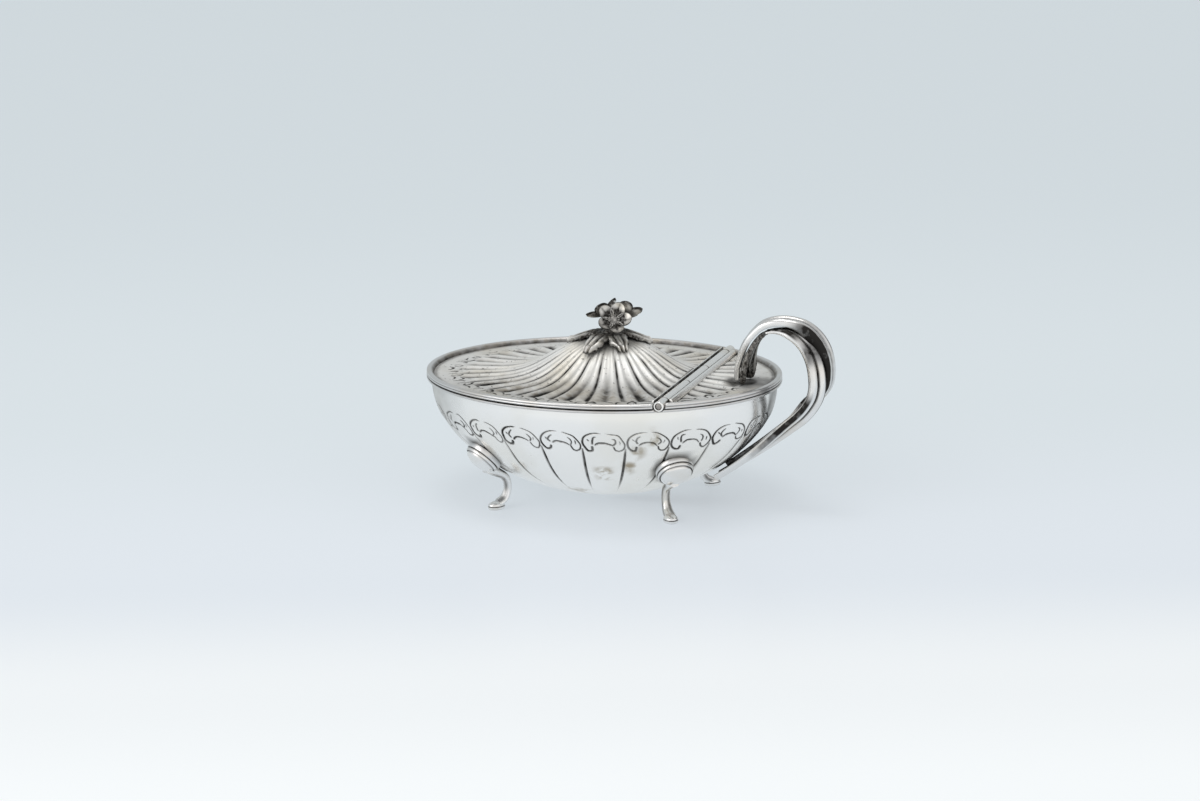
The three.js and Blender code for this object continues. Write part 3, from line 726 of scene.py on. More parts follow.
def lathe(section, sides, place, axis, first, second, band=False):
    """A shell turned round an axis. Each point of its section is a radius and a stand along it."""
    turns = even_turns(sides)[:, None]
    round_way = np.cos(turns) * first + np.sin(turns) * second
    rings = [place + stand * axis + radius * round_way for radius, stand in section]
    return sleeve(rings, band=band)


along_x, along_y, along_z = np.eye(3)
hinge_sides = 48


def round_hinge(section, sides=hinge_sides, band=False):
    hinge_point = np.array([hinge_x, 0, hinge_z])
    return lathe(section, sides, hinge_point, along_y, along_x, along_z, band)


def clear_hinge(piece):
    room = round_hinge(((tube_room, -rim_half_width), (tube_room, rim_half_width)))
    tool = new_object("hinge_room", outward_mesh("hinge_room", *room))
    modifier = piece.modifiers.new("hinge_room", "BOOLEAN")
    modifier.object = tool
    modifier.solver = "EXACT"
    settle(piece)
    bpy.data.objects.remove(tool)


rim_silver = silver(
    "rim_silver", bright=(0.70, 0.69, 0.675), warm=(0.60, 0.56, 0.50), dark=(0.04, 0.037, 0.033),
    roughness=0.3, wear_scale=60.0, waviness=0.05,
)
for name, node, body, section, side in (
    ("bowl_rim_moulding", "bowl_rim_wire", "dish", flat_section, None),
    ("lid_rim_moulding", "lid_rim_wire", "opening_lid", bead_section, "front"),
    ("rear_rim_moulding", "rear_rim_wire", "dish", bead_section, "rear"),
):
    low, high = box_mm(node)
    scale = (high - low)[2] / max(up for _, up, _ in section)
    mesh = outward_mesh(name, *sleeve([
        on_oval(rim_fractions, rim_half_length - inset, rim_half_width - inset, low[2] + up * scale)
        for inset, up, _ in section
    ], band=True))
    # Each section point's painted shade, all round the moulding.
    paint(mesh, "tarnish", np.repeat([dark for _, _, dark in section], len(rim_fractions)))
    browned = [0.45 if inset > brown_from else 0 for inset, _, _ in section]
    paint(mesh, "stain", np.repeat(browned, len(rim_fractions)))
    if side:
        keep_side(mesh, hinge_x, side == "front")
    piece = make_piece(name, mesh, rim_silver, crease=40)
    clear_hinge(piece)
    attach(piece, body)
    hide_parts(node)

# Lid and rear cover
# One raised and fluted sheet, cut in two across the bowl: the front part opens, the rear part
# is fixed. Sharp chased grooves part the flutes, and small scrolls end them at a plain flange.

lid_cut = box_mm("lid")[1][0]
rear_cut, _, rear_bottom = box_mm("rear_lid")[0]
lid_thickness = 0.9
lid_edge_top = rear_bottom + lid_thickness
lid_centre = 3.0
lid_inset = 2.7
lid_half_length = rim_half_length - lid_inset
lid_half_width = rim_half_width - lid_inset
lid_dome_height = 11.4
lid_skirt_rise = 2.5
lid_dome_reach = 24
lid_crown_radius = 5.5
lid_hole_radius = 1.75
flute_depth = 0.8
plain_from = 50.0
plain_to = 57.5


def hump(value, width):
    """1 where a value is nought, fading to nothing about two widths away."""
    return np.exp(-((value / width) ** 2))


def lid_height(share):
    outside = np.maximum(share, lid_crown_radius / lid_half_width)
    spread = lid_dome_reach / lid_half_length
    skirt = lid_skirt_rise * (1 - outside) ** 2
    return lid_edge_top + skirt + lid_dome_height * np.exp(-((outside / spread) ** 3))


def far_side(fraction):
    return smooth(0.2, 0.9, oval_way(fraction)[1])


def flute_reach(fraction, share, x):
    """How fully the flutes are there: they start under the finial and end at the flange."""
    end = 0.84 + 0.02 * np.sin(2 * math.pi * fraction * lobe_count) + 0.06 * far_side(fraction)
    along = smooth(0.12, 0.34, share) * (1 - smooth(end - 0.03, end + 0.02, share))
    return along * (1 - smooth(plain_from, plain_to, x))


def flute_relief(fraction, share, x):
    across = (fraction * lobe_count) % 1
    side = np.minimum(across, 1 - across)
    ribs = -0.35 * np.cos(4 * math.pi * across)
    groove = -0.45 * hump(side, 0.06)
    hollow = -0.35 * hump(across - 0.5, 0.15) * smooth(0.35, 0.7, share)
    depth = flute_depth * (0.75 + 0.5 * smooth(0.3, 0.75, share))
    beside_hinge = smooth(-0.1, 0.9, np.abs(x - hinge_x) - (rear_cut - hinge_x))
    return depth * beside_hinge * flute_reach(fraction, share, x) * (ribs + groove + hollow)


def lid_surface(fraction, share, drop=0.0, smallest=0.0):
    """Points of the lid's top, or of its underside where that lies a drop below."""
    cosine, sine = oval_way(fraction)
    reach_x = lid_half_length * cosine - lid_centre
    reach_y = lid_half_width * sine
    whole = np.hypot(reach_x, reach_y)
    reach = np.maximum(smallest, whole * share)
    x = lid_centre + reach_x / whole * reach
    y = reach_y / whole * reach
    relief = flute_relief(fraction, share, x)
    z = lid_height(share) - drop + (np.minimum(relief, 0) if drop else relief)
    return np.stack([x, y, z + 0 * x], -1)


flute_columns = 46
even = np.arange(lobe_count * flute_columns) / flute_columns
bunched = even - 0.4 * np.sin(2 * math.pi * even) / (2 * math.pi)
flute_fractions = bunched / lobe_count
top_shares = np.concatenate([
    np.linspace(0, 0.12, 4)[:-1], np.linspace(0.12, 0.72, 30)[:-1],
    np.linspace(0.72, 0.83, 12)[:-1], np.linspace(0.83, 0.94, 32)[:-1], np.linspace(0.94, 1, 6),
])
under_shares = (1, 0.9, 0.78, 0.66, 0.54, 0.42, 0.34, 0.26, 0.18, 0.1, 0)
top_rings, under_rings = [
    [lid_surface(flute_fractions, share, drop, lid_hole_radius) for share in shares]
    for shares, drop in ((top_shares, 0.0), (under_shares, lid_thickness))
]
lid_silver = silver(
    "lid_silver", bright=(0.86, 0.855, 0.83), warm=(0.75, 0.71, 0.62), dark=(0.04, 0.038, 0.035),
    roughness=0.57, wear_scale=38.0, waviness=0.16, specks=0.6,
)
sheet = make_piece(
    "lid_sheet", outward_mesh("lid_sheet", *sleeve(top_rings + under_rings, band=True)), lid_silver
)
across = bunched % 1
side = np.minimum(across, 1 - across)
pit_strength = np.repeat(chance.uniform(0.1, 1.0, lobe_count), flute_columns)
facing_front = smooth(-0.2, -0.9, oval_way(flute_fractions)[1])
line_half = 0.105 - 0.04 * facing_front
# Painted shade and patina on the lid's top: dark lines in the chased grooves, painted shade in the
# flutes' hollows, dark pits near the ends of the flutes, a painted shadow along the outer edge, the
# flange slightly darker, painted shade on the plain end by the hinge, and the flutes facing the
# front darker.
dark_rings, brown_rings = [], []
for share, ring in zip(top_shares, top_rings):
    reach = flute_reach(flute_fractions, share, ring[:, 0])
    dark = 1.05 * hump(side, line_half) * smooth(0.15, 0.35, share)
    dark += 0.5 * hump(across - 0.5, 0.12) * smooth(0.25, 0.6, share)
    pit = hump(across - 0.5, 0.11) * smooth(0.62, 0.76, share) * pit_strength
    dark += 1.3 * pit * (0.25 + 0.75 * facing_front)
    edge = 0.5 * smooth(0.97, 0.99, share) + 0.1 * smooth(0.8, 0.86, share)
    edge += 0.08 * smooth(plain_from - 4, plain_to, ring[:, 0])
    edge += 0.25 * facing_front * smooth(0.3, 0.65, share)
    dark_rings.append(np.clip(dark * reach + edge, 0, 1))
    brown = hump(across - 0.5, 0.3) * smooth(0.4, 0.75, share) * reach
    brown_rings.append(0.8 * brown * (0.2 + 0.8 * facing_front))
under_paint = np.zeros((len(under_shares), len(flute_fractions)))
paint(sheet.data, "tarnish", np.concatenate([dark_rings, under_paint]))
paint(sheet.data, "stain", np.concatenate([brown_rings, under_paint]))

# Each line of a flange scroll: its points across and outwards
flange_scrolls = (
    ((-5.6, 1.6), (-5.9, 0.2), (-5.0, -1.1), (-3.6, -1.2), (-2.8, -0.2), (-3.5, 0.7), (-4.3, 0.3)),
    ((-2.4, 1.5), (-0.9, 0.6), (0.8, 0.8), (2.2, 1.6)),
    ((-1.0, -1.0), (0.6, -1.5), (2.4, -0.9), (3.0, 0.3)),
    ((4.0, 1.5), (3.9, 0.1), (4.7, -0.9), (5.6, -0.5)),
)
flange_share = 0.885
flange_reach = 42
flange_length = 300.0
flange_width = flange_length / lobe_count
flange_unevenness = 0.2
flange_steps = 24
flange_strokes = []
for lobe in range(lobe_count):
    for line_points in flange_scrolls:
        shifts = chance.normal(0, flange_unevenness, (len(line_points), 2))
        line = through(np.array(line_points) + shifts, flange_steps)
        fraction = (lobe + 0.5 + line[:, 0] / flange_width) / lobe_count
        placed = lid_surface(fraction, flange_share + line[:, 1] / flange_reach)
        force = 0.4 + 0.6 * np.sin(math.pi * np.linspace(0, 1, flange_steps)) ** 0.7
        force = force * (1 - smooth(plain_from, plain_to, placed[:, 0])) + 0.02
        force = force * (1 - 0.7 * far_side(fraction))
        flange_strokes.append((placed, force * chance.uniform(0.8, 1.1)))
chase(
    sheet, strokes("flange_strokes", flange_strokes),
    half_width=0.6, depth=0.2, darkness=1.5, material=lid_silver,
)


def lid_piece(name, node, body, cut, keep_low):
    mesh = sheet.data.copy()
    keep_side(mesh, cut, keep_low)
    piece = make_piece(name, mesh, lid_silver, crease=55)
    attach(piece, body)
    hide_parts(node)
    return piece


fluted_lid = lid_piece("lid_fluted", "lid", "opening_lid", lid_cut, True)
fluted_rear = lid_piece("rear_lid_fluted", "rear_lid", "dish", rear_cut, False)
bpy.data.objects.remove(sheet)

# Hinge
# A silver tube in five lengths, turn about on the lid and on the rear cover, with a thin strip
# soldered along each cut edge. The steel pin's dark end shows in the first length.

knuckle_edge = 0.18
pin_room = 0.1
web_half_height = 0.55
web_bite = 0.3
web_inset = 0.3
shortest_web = 1
lid_edge_half = lid_half_width * math.sqrt(1 - (rear_cut / lid_half_length) ** 2) - web_inset


def tube_shell(low, high):
    inside = pin_radius + pin_room
    low_end = [
        (inside, low), (tube_radius - knuckle_edge, low), (tube_radius, low + knuckle_edge),
        (tube_radius, low + 2 * knuckle_edge),
    ]
    high_end = [(radius, low + high - y) for radius, y in reversed(low_end)]
    return round_hinge(low_end + high_end, band=True)


def box_shell(low, high):
    corners = [[low[0], low[1]], [high[0], low[1]], [high[0], high[1]], [low[0], high[1]]]
    return sleeve([[[x, y, z] for x, y in corners] for z in (low[2], high[2])])


hinge_silver = silver(
    "hinge_silver", bright=(0.92, 0.90, 0.87), warm=(0.84, 0.80, 0.73), dark=(0.04, 0.037, 0.033),
    roughness=0.24, wear_scale=70.0, waviness=0.03,
)
# Each length of the tube: its node, its body, and how dark its front and its back end are; that
# dark is painted shade where two lengths meet
for name, body, front_dark, back_dark in (
    ("rear_knuckle_front", "dish", 0, 0.8),
    ("lid_knuckle_front", "opening_lid", 0.8, 0.8),
    ("rear_knuckle_middle", "dish", 0.8, 0.8),
    ("lid_knuckle_back", "opening_lid", 0.8, 0.8),
    ("rear_knuckle_back", "dish", 0.8, 0),
):
    low, high = box_mm(name)
    shells = [tube_shell(low[1], high[1])]
    side = 1 if body == "dish" else -1
    edge = high[0] if body == "dish" else low[0]
    web_left, web_right = sorted((hinge_x + side * (tube_radius - web_bite), edge))
    web_low, web_high = max(low[1], -lid_edge_half), min(high[1], lid_edge_half)
    if web_high - web_low > shortest_web:
        shells.append(box_shell(
            (web_left, web_low, hinge_z - web_half_height),
            (web_right, web_high, hinge_z + web_half_height),
        ))
    mesh = outward_mesh(name, *gather(*shells))
    tube_dark = np.repeat([front_dark] * 3 + [0, 0] + [back_dark] * 3, hinge_sides)
    # The web is painted dark: painted shade in the gap between the tube and the strip.
    web_dark = np.full(len(mesh.vertices) - len(tube_dark), 0.9)
    paint(mesh, "tarnish", np.concatenate([tube_dark, web_dark]))
    piece = make_piece(name + "_tube", mesh, hinge_silver, crease=30)
    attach(piece, body)
    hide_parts(name)

# Each point of a strip's section: a share of its half width away from the tube, a share of its
# half height, and how dark it is. The dark is painted shade on the strip's side towards the tube
# and under its far edge.
strip_section = (
    (-1.0, -1.0, 1), (-1.0, 0.8, 1), (-0.8, 0.97, 0.9), (-0.62, 1.0, 0.1), (0.0, 1.0, 0),
    (0.25, 0.94, 0), (0.9, -0.3, 0), (1.0, -0.6, 0.2), (1.0, -1.0, 0.6),
)
for name, body, away in (("lid_hinge_leaf", "opening_lid", -1), ("rear_hinge_leaf", "dish", 1)):
    low, high = box_mm(name)
    middle, half = (low + high) / 2, (high - low) / 2
    ends = ((-half[1], 0.8), (0.1 - half[1], 1), (half[1] - 0.1, 1), (half[1], 0.8))
    mesh = outward_mesh(name, *sleeve([
        [middle + (away * x * half[0] * size, y, z * half[2] * size) for x, z, _ in strip_section]
        for y, size in ends
    ]))
    paint(mesh, "tarnish", np.tile([dark for _, _, dark in strip_section], len(ends)))
    piece = make_piece(name + "_strip", mesh, hinge_silver, crease=40)
    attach(piece, body)
    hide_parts(name)

pin_steel = silver(
    "pin_steel", bright=(0.34, 0.32, 0.30), warm=(0.24, 0.20, 0.17), dark=(0.05, 0.045, 0.04),
    roughness=0.5, wear_scale=120.0, waviness=0.05,
)
pin_start, pin_end = pin_low[1], pin_high[1]
pin_shell = round_hinge((
    (0.3 * pin_radius, pin_start), (0.8 * pin_radius, pin_start + 0.06),
    (pin_radius, pin_start + 0.3), (pin_radius, pin_end - 0.3),
    (0.8 * pin_radius, pin_end - 0.06), (0.3 * pin_radius, pin_end),
), sides=32)
pin_mesh = outward_mesh("hinge_pin_rod", *pin_shell)
piece = make_piece("hinge_pin_rod", pin_mesh, pin_steel, crease=60)
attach(piece, "dish")
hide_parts("hinge_pin")

# Finial
# A cast spray of three five-petalled flowers over six drooping leaves, held by a stem through
# the lid with a washer and nut inside. Its hollows carry painted shade, and only its edges are
# bright.

cast_silver = silver(
    "cast_silver", bright=(0.76, 0.74, 0.70), warm=(0.63, 0.59, 0.51), dark=(0.03, 0.027, 0.024),
    roughness=0.34, wear_scale=220.0, waviness=0.05,
)


def read_points(mesh):
    """Where the points of a mesh are, in metres, and which way they face."""
    places, normals = np.zeros((2, len(mesh.vertices) * 3))
    mesh.vertices.foreach_get("co", places)
    mesh.vertex_normals.foreach_get("vector", normals)
    return places.reshape(-1, 3), normals.reshape(-1, 3)


def darken(mesh, dark):
    """Adds painted shade to a mesh's painted darkness, where it is darker than that."""
    old = np.zeros(len(mesh.vertices))
    mesh.attributes["tarnish"].data.foreach_get("value", old)
    paint(mesh, "tarnish", np.maximum(old, dark))


def add_painted_shade(piece, middle, near, far, strength, facing=along_z):
    """Painted shade round a point, on the side of a piece that faces one way."""
    places, normals = read_points(piece.data)
    away = np.linalg.norm((places - bowl_centre) / mm - middle, axis=1)
    darken(piece.data, strength * (1 - smooth(near, far, away)) * (normals @ facing > 0))


def slab(top, bottom):
    """A closed leaf of metal between two grids of points."""
    rows, count = top.shape[:2]
    index = np.arange(rows * count).reshape(rows, count)
    faces = []
    for grid, turned_over in ((index, False), (index + rows * count, True)):
        quads = np.stack([grid[:-1, :-1], grid[1:, :-1], grid[1:, 1:], grid[:-1, 1:]], -1)
        quads = quads.reshape(-1, 4).tolist()
        faces += [tuple(quad[::-1]) if turned_over else tuple(quad) for quad in quads]
    rim = [*index[0], *index[1:, -1], *index[-1, -2::-1], *index[-2:0:-1, 0]]
    for here, there in zip(rim, rim[1:] + rim[:1]):
        faces.append((int(here), int(there), int(there + rows * count), int(here + rows * count)))
    return np.concatenate([top.reshape(-1, 3), bottom.reshape(-1, 3)]), faces


def paint_shade_in_hollows(mesh, shallow, deep, spread):
    """Paints shade on what lies below the metal round it, by so many millimetres."""
    places, normals = read_points(mesh)
    edges = np.zeros(len(mesh.edges) * 2, int)
    mesh.edges.foreach_get("vertices", edges)
    a, b = edges.reshape(-1, 2).T
    count = len(places)
    degree = np.maximum(np.bincount(a, minlength=count) + np.bincount(b, minlength=count), 1)
    softened = places.copy()
    for _ in range(spread):
        total = np.zeros_like(softened)
        np.add.at(total, a, softened[b])
        np.add.at(total, b, softened[a])
        softened = 0.5 * softened + 0.5 * total / degree[:, None]
    below = ((softened - places) * normals).sum(1) / mm
    darken(mesh, smooth(shallow, deep, below))


stem_bottom = box_mm("finial_stem")[0][2]
lid_crown = float(lid_height(0.0))
stem_top = lid_crown + 6.5
rosette_top = lid_crown + 2.6
rosette_tip = 57.2
rosette_start = 1.8
rosette_leaf_width = 8.4
rosette_leaf_thickness = 0.9
# Each leaf of the rosette: its bearing in degrees and its length
rosette_leaves = ((-178, 16.4), (-106, 16.2), (-50, 13.8), (24, 15.2), (76, 15), (128, 15.4))
leaf_along = np.linspace(0, 1, 30)[:, None]
leaf_across = np.linspace(-1, 1, 25)[None, :]


def reach_to_oval(start, way, length, width):
    """How far it is from a point inside an oval to the oval, going one way."""
    square = (way[0] / length) ** 2 + (way[1] / width) ** 2
    half = start[0] * way[0] / length ** 2 + start[1] * way[1] / width ** 2
    rest = (start[0] / length) ** 2 + (start[1] / width) ** 2 - 1
    return (math.sqrt(half ** 2 - square * rest) - half) / square


def rosette_leaf(degrees, longest):
    along, across = leaf_along, leaf_across
    angle = math.radians(degrees)
    way = np.array([math.cos(angle), math.sin(angle), 0])
    side = np.array([-way[1], way[0], 0])
    lobes = 0.86 + 0.14 * np.abs(np.cos(3.1 * math.pi * along ** 1.2))
    half = rosette_leaf_width / 2 * (0.3 + 0.7 * np.sin(math.pi * (0.12 + 0.8 * along))) * lobes
    blunt = 1.6 * across ** 2 * along + 2.0 * along ** 5 * np.sin(1.5 * math.pi * across) ** 2
    reach = rosette_start + (longest - rosette_start) * along - blunt
    lid_reach = reach_to_oval((lid_centre, 0), way, lid_half_length, lid_half_width)
    carried = lid_height(reach / lid_reach) + 0.3 + rosette_leaf_thickness
    height = rosette_top + (rosette_tip - rosette_top) * along ** 1.8
    height = np.maximum(height, carried)
    ridges = 0.85 * np.abs(np.cos(1.5 * math.pi * across)) ** 0.8 * smooth(0.1, 0.4, along)
    tip_curl = 0.7 * smooth(0.8, 1, along) * (1 - across ** 2)
    rounded = smooth(0.88, 1, along) ** 2 * (0.25 + 0.95 * (1 - across ** 2))
    top = height + ridges * (1 - 0.3 * across ** 2) + tip_curl - 0.35 * across ** 2 - rounded
    bottom = height - rosette_leaf_thickness + 0.1 + 0 * across
    flat = lid_centre * along_x + reach[..., None] * way + (across * half)[..., None] * side
    return slab(flat + top[..., None] * along_z, flat + bottom[..., None] * along_z)


def upright_shell(section):
    return lathe(section, 32, lid_centre * along_x, along_z, along_x, along_y)


hub_shell = upright_shell((
    (3.6, lid_crown + 0.3), (4.2, lid_crown + 0.7), (4.0, lid_crown + 1.6), (2.9, rosette_top),
    (1.9, rosette_top + 0.8),
))
rosette_mesh = outward_mesh(
    "rosette", *gather(hub_shell, *[rosette_leaf(*leaf) for leaf in rosette_leaves])
)
# Painted shade and patina on the rosette: the hub, the leaves' undersides and their parts near the
# hub are dark, and so are the valleys between their ridges, lighter towards the tips. The leaves
# seen from the side get narrower light crests than the two that face the camera.
crest = np.abs(np.cos(1.5 * math.pi * leaf_across))
rosette_dark = [np.full(len(hub_shell[0]), 0.95)]
for degrees, _ in rosette_leaves:
    faces_camera = -110 < degrees < -40
    sharpness = 1.2 if faces_camera else 4.0
    leaf_dark = (1 - crest ** sharpness) * (1 - 0.5 * smooth(0.6, 0.95, leaf_along))
    leaf_dark = np.maximum(leaf_dark, 0.95 * smooth(0.65, 0.3, leaf_along))
    rosette_dark += [np.clip(leaf_dark, 0, 1).ravel(), np.ones(leaf_dark.size)]
paint(rosette_mesh, "tarnish", np.concatenate(rosette_dark))
# Painted shadow on the lid round the foot of the rosette.
add_painted_shade(fluted_lid, (lid_centre, 0, lid_crown), near=8, far=15, strength=0.75)
piece = make_piece("finial_leaves", rosette_mesh, cast_silver, crease=60)
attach(piece, "opening_lid")
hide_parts("finial_leaf_rosette")

stem_shell = upright_shell((
    (1.2, stem_bottom), (1.6, stem_bottom + 0.4), (1.6, rosette_top + 0.5),
    (1.3, rosette_top + 1.5), (1.5, stem_top - 3.0), (2.2, stem_top - 1.6), (2.6, stem_top - 0.3),
    (2.3, stem_top + 1.2), (1.3, stem_top + 2.2), (0.3, stem_top + 2.55),
))
stem_mesh = outward_mesh("finial_stalk", *stem_shell)
# The stalk is painted dark: painted shade among the leaves and flowers.
paint(stem_mesh, "tarnish", np.full(len(stem_shell[0]), 0.85))
piece = make_piece("finial_stalk", stem_mesh, cast_silver, crease=60)
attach(piece, "opening_lid")
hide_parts("finial_stem")

petal_length = 5.6
petal_width = 5.2
petal_thickness = 1.0
petal_tilt = 0.34
rings_out = np.linspace(0.02, 1, 12)[:, None]
round_petal = even_turns(32)[None, :]
petal_x = petal_length * 0.62 + petal_length / 2 * rings_out * np.cos(round_petal)
petal_y = petal_width / 2 * rings_out * np.sin(round_petal)
vein = -0.3 * hump(petal_y, 0.35) * smooth(5.6, 3.4, petal_x)
rolled = 0.75 * rings_out ** 3 + petal_tilt * petal_x
petal_top = np.stack([petal_x, petal_y, rolled + vein + petal_thickness / 2], -1)
petal_under = np.stack([
    petal_x * 0.985 + 0.05, petal_y * 0.97, rolled - petal_thickness / 2 * (1 - 0.6 * rings_out)
], -1)
petal_shell = sleeve(np.concatenate([petal_top, petal_under[::-1]]))
# Painted shade on the petals: dark towards the flower's middle and along each vein, lighter at the
# rims, and dark underneath towards the middle.
top_dark = smooth(5.0, 3.0, petal_x) + 0.5 * hump(petal_y, 0.4)
top_dark = top_dark * (1 - 0.8 * smooth(0.8, 0.97, rings_out)) + 0.3 * (1 - rings_out)
under_dark = 0.75 * smooth(4.8, 3.0, petal_x)
petal_dark = np.concatenate([np.clip(top_dark, 0, 1), under_dark[::-1]])


def loose_object(name, shell, dark):
    """A shape at its own origin, in metres, to be set in place by nodes."""
    points, faces = shell
    mesh = bpy.data.meshes.new(name)
    mesh.from_pydata((points * mm).tolist(), [], faces)
    mesh.polygons.foreach_set("use_smooth", [True] * len(mesh.polygons))
    paint(mesh, "tarnish", dark)
    return new_object(name, mesh)


def flower_nodes():
    """Sets petals round a button, and a ring of small beads between them."""
    group, given = new_group("flower_head", (
        ("Petal", "Object"), ("Petals", "Int"), ("Beads", "Int"), ("Bead Ring", "Float"),
        ("Bead Radius", "Float"), ("Bead Height", "Float"), ("Bead Darkness", "Float"),
    ))

    def set_round(count, radius, instance):
        circle = add_node(group, "GeometryNodeMeshCircle", {"Vertices": count, "Radius": radius})
        number = add_node(group, "GeometryNodeInputIndex").outputs["Index"]
        turned = maths(group, "MULTIPLY", number, maths(group, "DIVIDE", 2 * math.pi, count))
        return add_node(group, "GeometryNodeInstanceOnPoints", {
            "Points": circle.outputs["Mesh"],
            "Instance": instance,
            "Rotation": upright(turned),
        }).outputs["Instances"]

    def upright(height):
        return add_node(group, "ShaderNodeCombineXYZ", {"Z": height}).outputs["Vector"]

    petals = set_round(given.outputs["Petals"], 0, shape_of(group, given.outputs["Petal"]))
    bead = add_node(group, "GeometryNodeMeshUVSphere", {
        "Segments": 12,
        "Rings": 8,
        "Radius": given.outputs["Bead Radius"],
    })
    beads = set_round(given.outputs["Beads"], given.outputs["Bead Ring"], bead.outputs["Mesh"])
    raised = add_node(group, "GeometryNodeTransform", {
        "Geometry": beads,
        "Translation": upright(given.outputs["Bead Height"]),
    })
    separate = realized(group, raised.outputs["Geometry"])
    darkened = store_tarnish_and_shade(group, separate, given.outputs["Bead Darkness"])
    all_parts = add_node(group, "GeometryNodeJoinGeometry")
    for part in (given.outputs["Geometry"], petals, darkened):
        group.links.new(part, all_parts.inputs["Geometry"])
    finish_group(group, given, all_parts.outputs["Geometry"])
    return group


flower_head = flower_nodes()
button_shell = lathe((
    (1.2, -1.2), (1.75, -0.4), (1.85, 0.5), (1.6, 1.25), (1.1, 1.65), (0.6, 1.5), (0.15, 1.35)
), 24, np.zeros(3), along_z, along_x, along_y)
button_dark = np.full(len(button_shell[0]), 0.75)
# Each flower: its middle from the top of the stem, the way it faces, and its turn about that way
flowers = {
    "finial_flower_front": ((3.0, -5.0, 0.9), (0.3, -0.65, 0.6), 0.3),
    "finial_flower_left": ((-3.3, 4.5, 0.8), (-0.56, 0.19, 0.82), 0.0),
    "finial_flower_right": ((4.4, 2.5, 1.3), (0.02, 0.58, 0.81), 0.0),
}
petal_shape = loose_object("petal", petal_shell, petal_dark)
upwards = Vector((0, 0, 1))
stalk_foot = np.array([lid_centre, 0, stem_top])


def placing(middle, turn):
    return Matrix.Translation(middle) @ turn.to_matrix().to_4x4()


for name, (place, facing, spin) in flowers.items():
    flower = loose_object(name + "_cast", button_shell, button_dark)
    run_nodes(flower, flower_head, {
        "Petal": petal_shape,
        "Petals": 5,
        "Beads": 9,
        "Bead Ring": 1.75 * mm,
        "Bead Radius": 0.42 * mm,
        "Bead Height": 1.25 * mm,
        "Bead Darkness": 0.6,
        "Material": cast_silver,
    })
    head = Vector(to_frame(stalk_foot + place))
    turn = upwards.rotation_difference(Vector(facing).normalized()) @ Quaternion(upwards, spin)
    flower.data.transform(placing(head, turn))
    foot = Vector(to_frame(stalk_foot))
    stalk_turn = upwards.rotation_difference(head - foot)
    work = bmesh.new()
    work.from_mesh(flower.data)
    made = bmesh.ops.create_cone(
        work, cap_ends=True, segments=16, radius1=1.1 * mm, radius2=0.9 * mm,
        depth=(head - foot).length, matrix=placing((head + foot) / 2, stalk_turn),
    )
    for vertex in made["verts"]:
        for face in vertex.link_faces:
            face.smooth = True
    work.to_mesh(flower.data)
    work.free()
    # Painted shade in the flower's hollows.
    paint_shade_in_hollows(flower.data, shallow=0.04, deep=0.2, spread=8)
    flower.data.set_sharp_from_angle(angle=math.radians(60))
    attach(flower, "opening_lid")
    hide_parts(name)
bpy.data.objects.remove(petal_shape)

# Handle
# Two cast straps with a pair of reeds outside and a hollow inside. One rises from the rear
# cover and crosses behind the other, and both run down to the bowl.

foot_inset = 14.7
handle_reach = 32.6
handle_rise = 23.2
strap_spacing = 7.4
root_height = 14.7
root_stand = 2.5
run_steps = 6
run_sag = 1.0
front_run_on = 3.8
strap_half = 3.3
reed_radius = 1.55
# Each point of a loop: shares of the handle's reach, of half the straps' spacing and of its rise
back_loop = (
    (0, 0, 0.069), (0.003, 0, 0.194), (0.012, 0, 0.293), (0.034, 0, 0.392), (0.061, 0, 0.509),
    (0.098, 0, 0.621), (0.144, 0, 0.72), (0.206, 0.03, 0.823), (0.282, 0.05, 0.918),
    (0.371, 0.08, 0.974), (0.482, 0.14, 1), (0.629, 0.22, 0.987), (0.761, 0.27, 0.931),
    (0.877, 0.35, 0.802), (0.96, 0.49, 0.616), (0.997, 0.65, 0.409), (1, 0.81, 0.211),
    (0.975, 0.95, 0.03), (0.899, 1, -0.134),
)
front_loop = (
    (0.334, -0.11, 0.832), (0.439, -0.16, 0.858), (0.567, -0.27, 0.845), (0.684, -0.41, 0.776),
    (0.779, -0.54, 0.668), (0.85, -0.68, 0.526), (0.896, -0.81, 0.362), (0.917, -0.92, 0.194),
    (0.92, -0.97, 0.039), (0.896, -1, -0.116), (0.834, -1, -0.272), (0.748, -1, -0.418),
)


def handle_point(reach, aside, rise):
    return (
        rim_half_length - foot_inset + reach * handle_reach,
        aside * strap_spacing / 2,
        rim_high[2] + rise * handle_rise,
    )


back_root = np.array([
    bowl_half_length * wall_share(root_height) + root_stand, strap_spacing / 2, root_height
])
front_root = back_root * np.array([1, -0.8, 1]) + front_run_on * np.array([-0.67, 0, -0.74])


def strap_line(loop, root, count):
    """The line of a strap round its loop and on down to its root, sagging a little."""
    points = [handle_point(*point) for point in loop]
    belly = np.array(points[-1])
    for i in range(1, run_steps + 1):
        along = i / run_steps
        sag = run_sag * math.sin(math.pi * along)
        points.append(belly + (root - belly) * along - sag * along_z)
    return through(points, count)


def line_ways(line):
    """Which way a line goes at each of its points."""
    ways = np.gradient(line, axis=0)
    return ways / np.linalg.norm(ways, axis=1)[:, None]


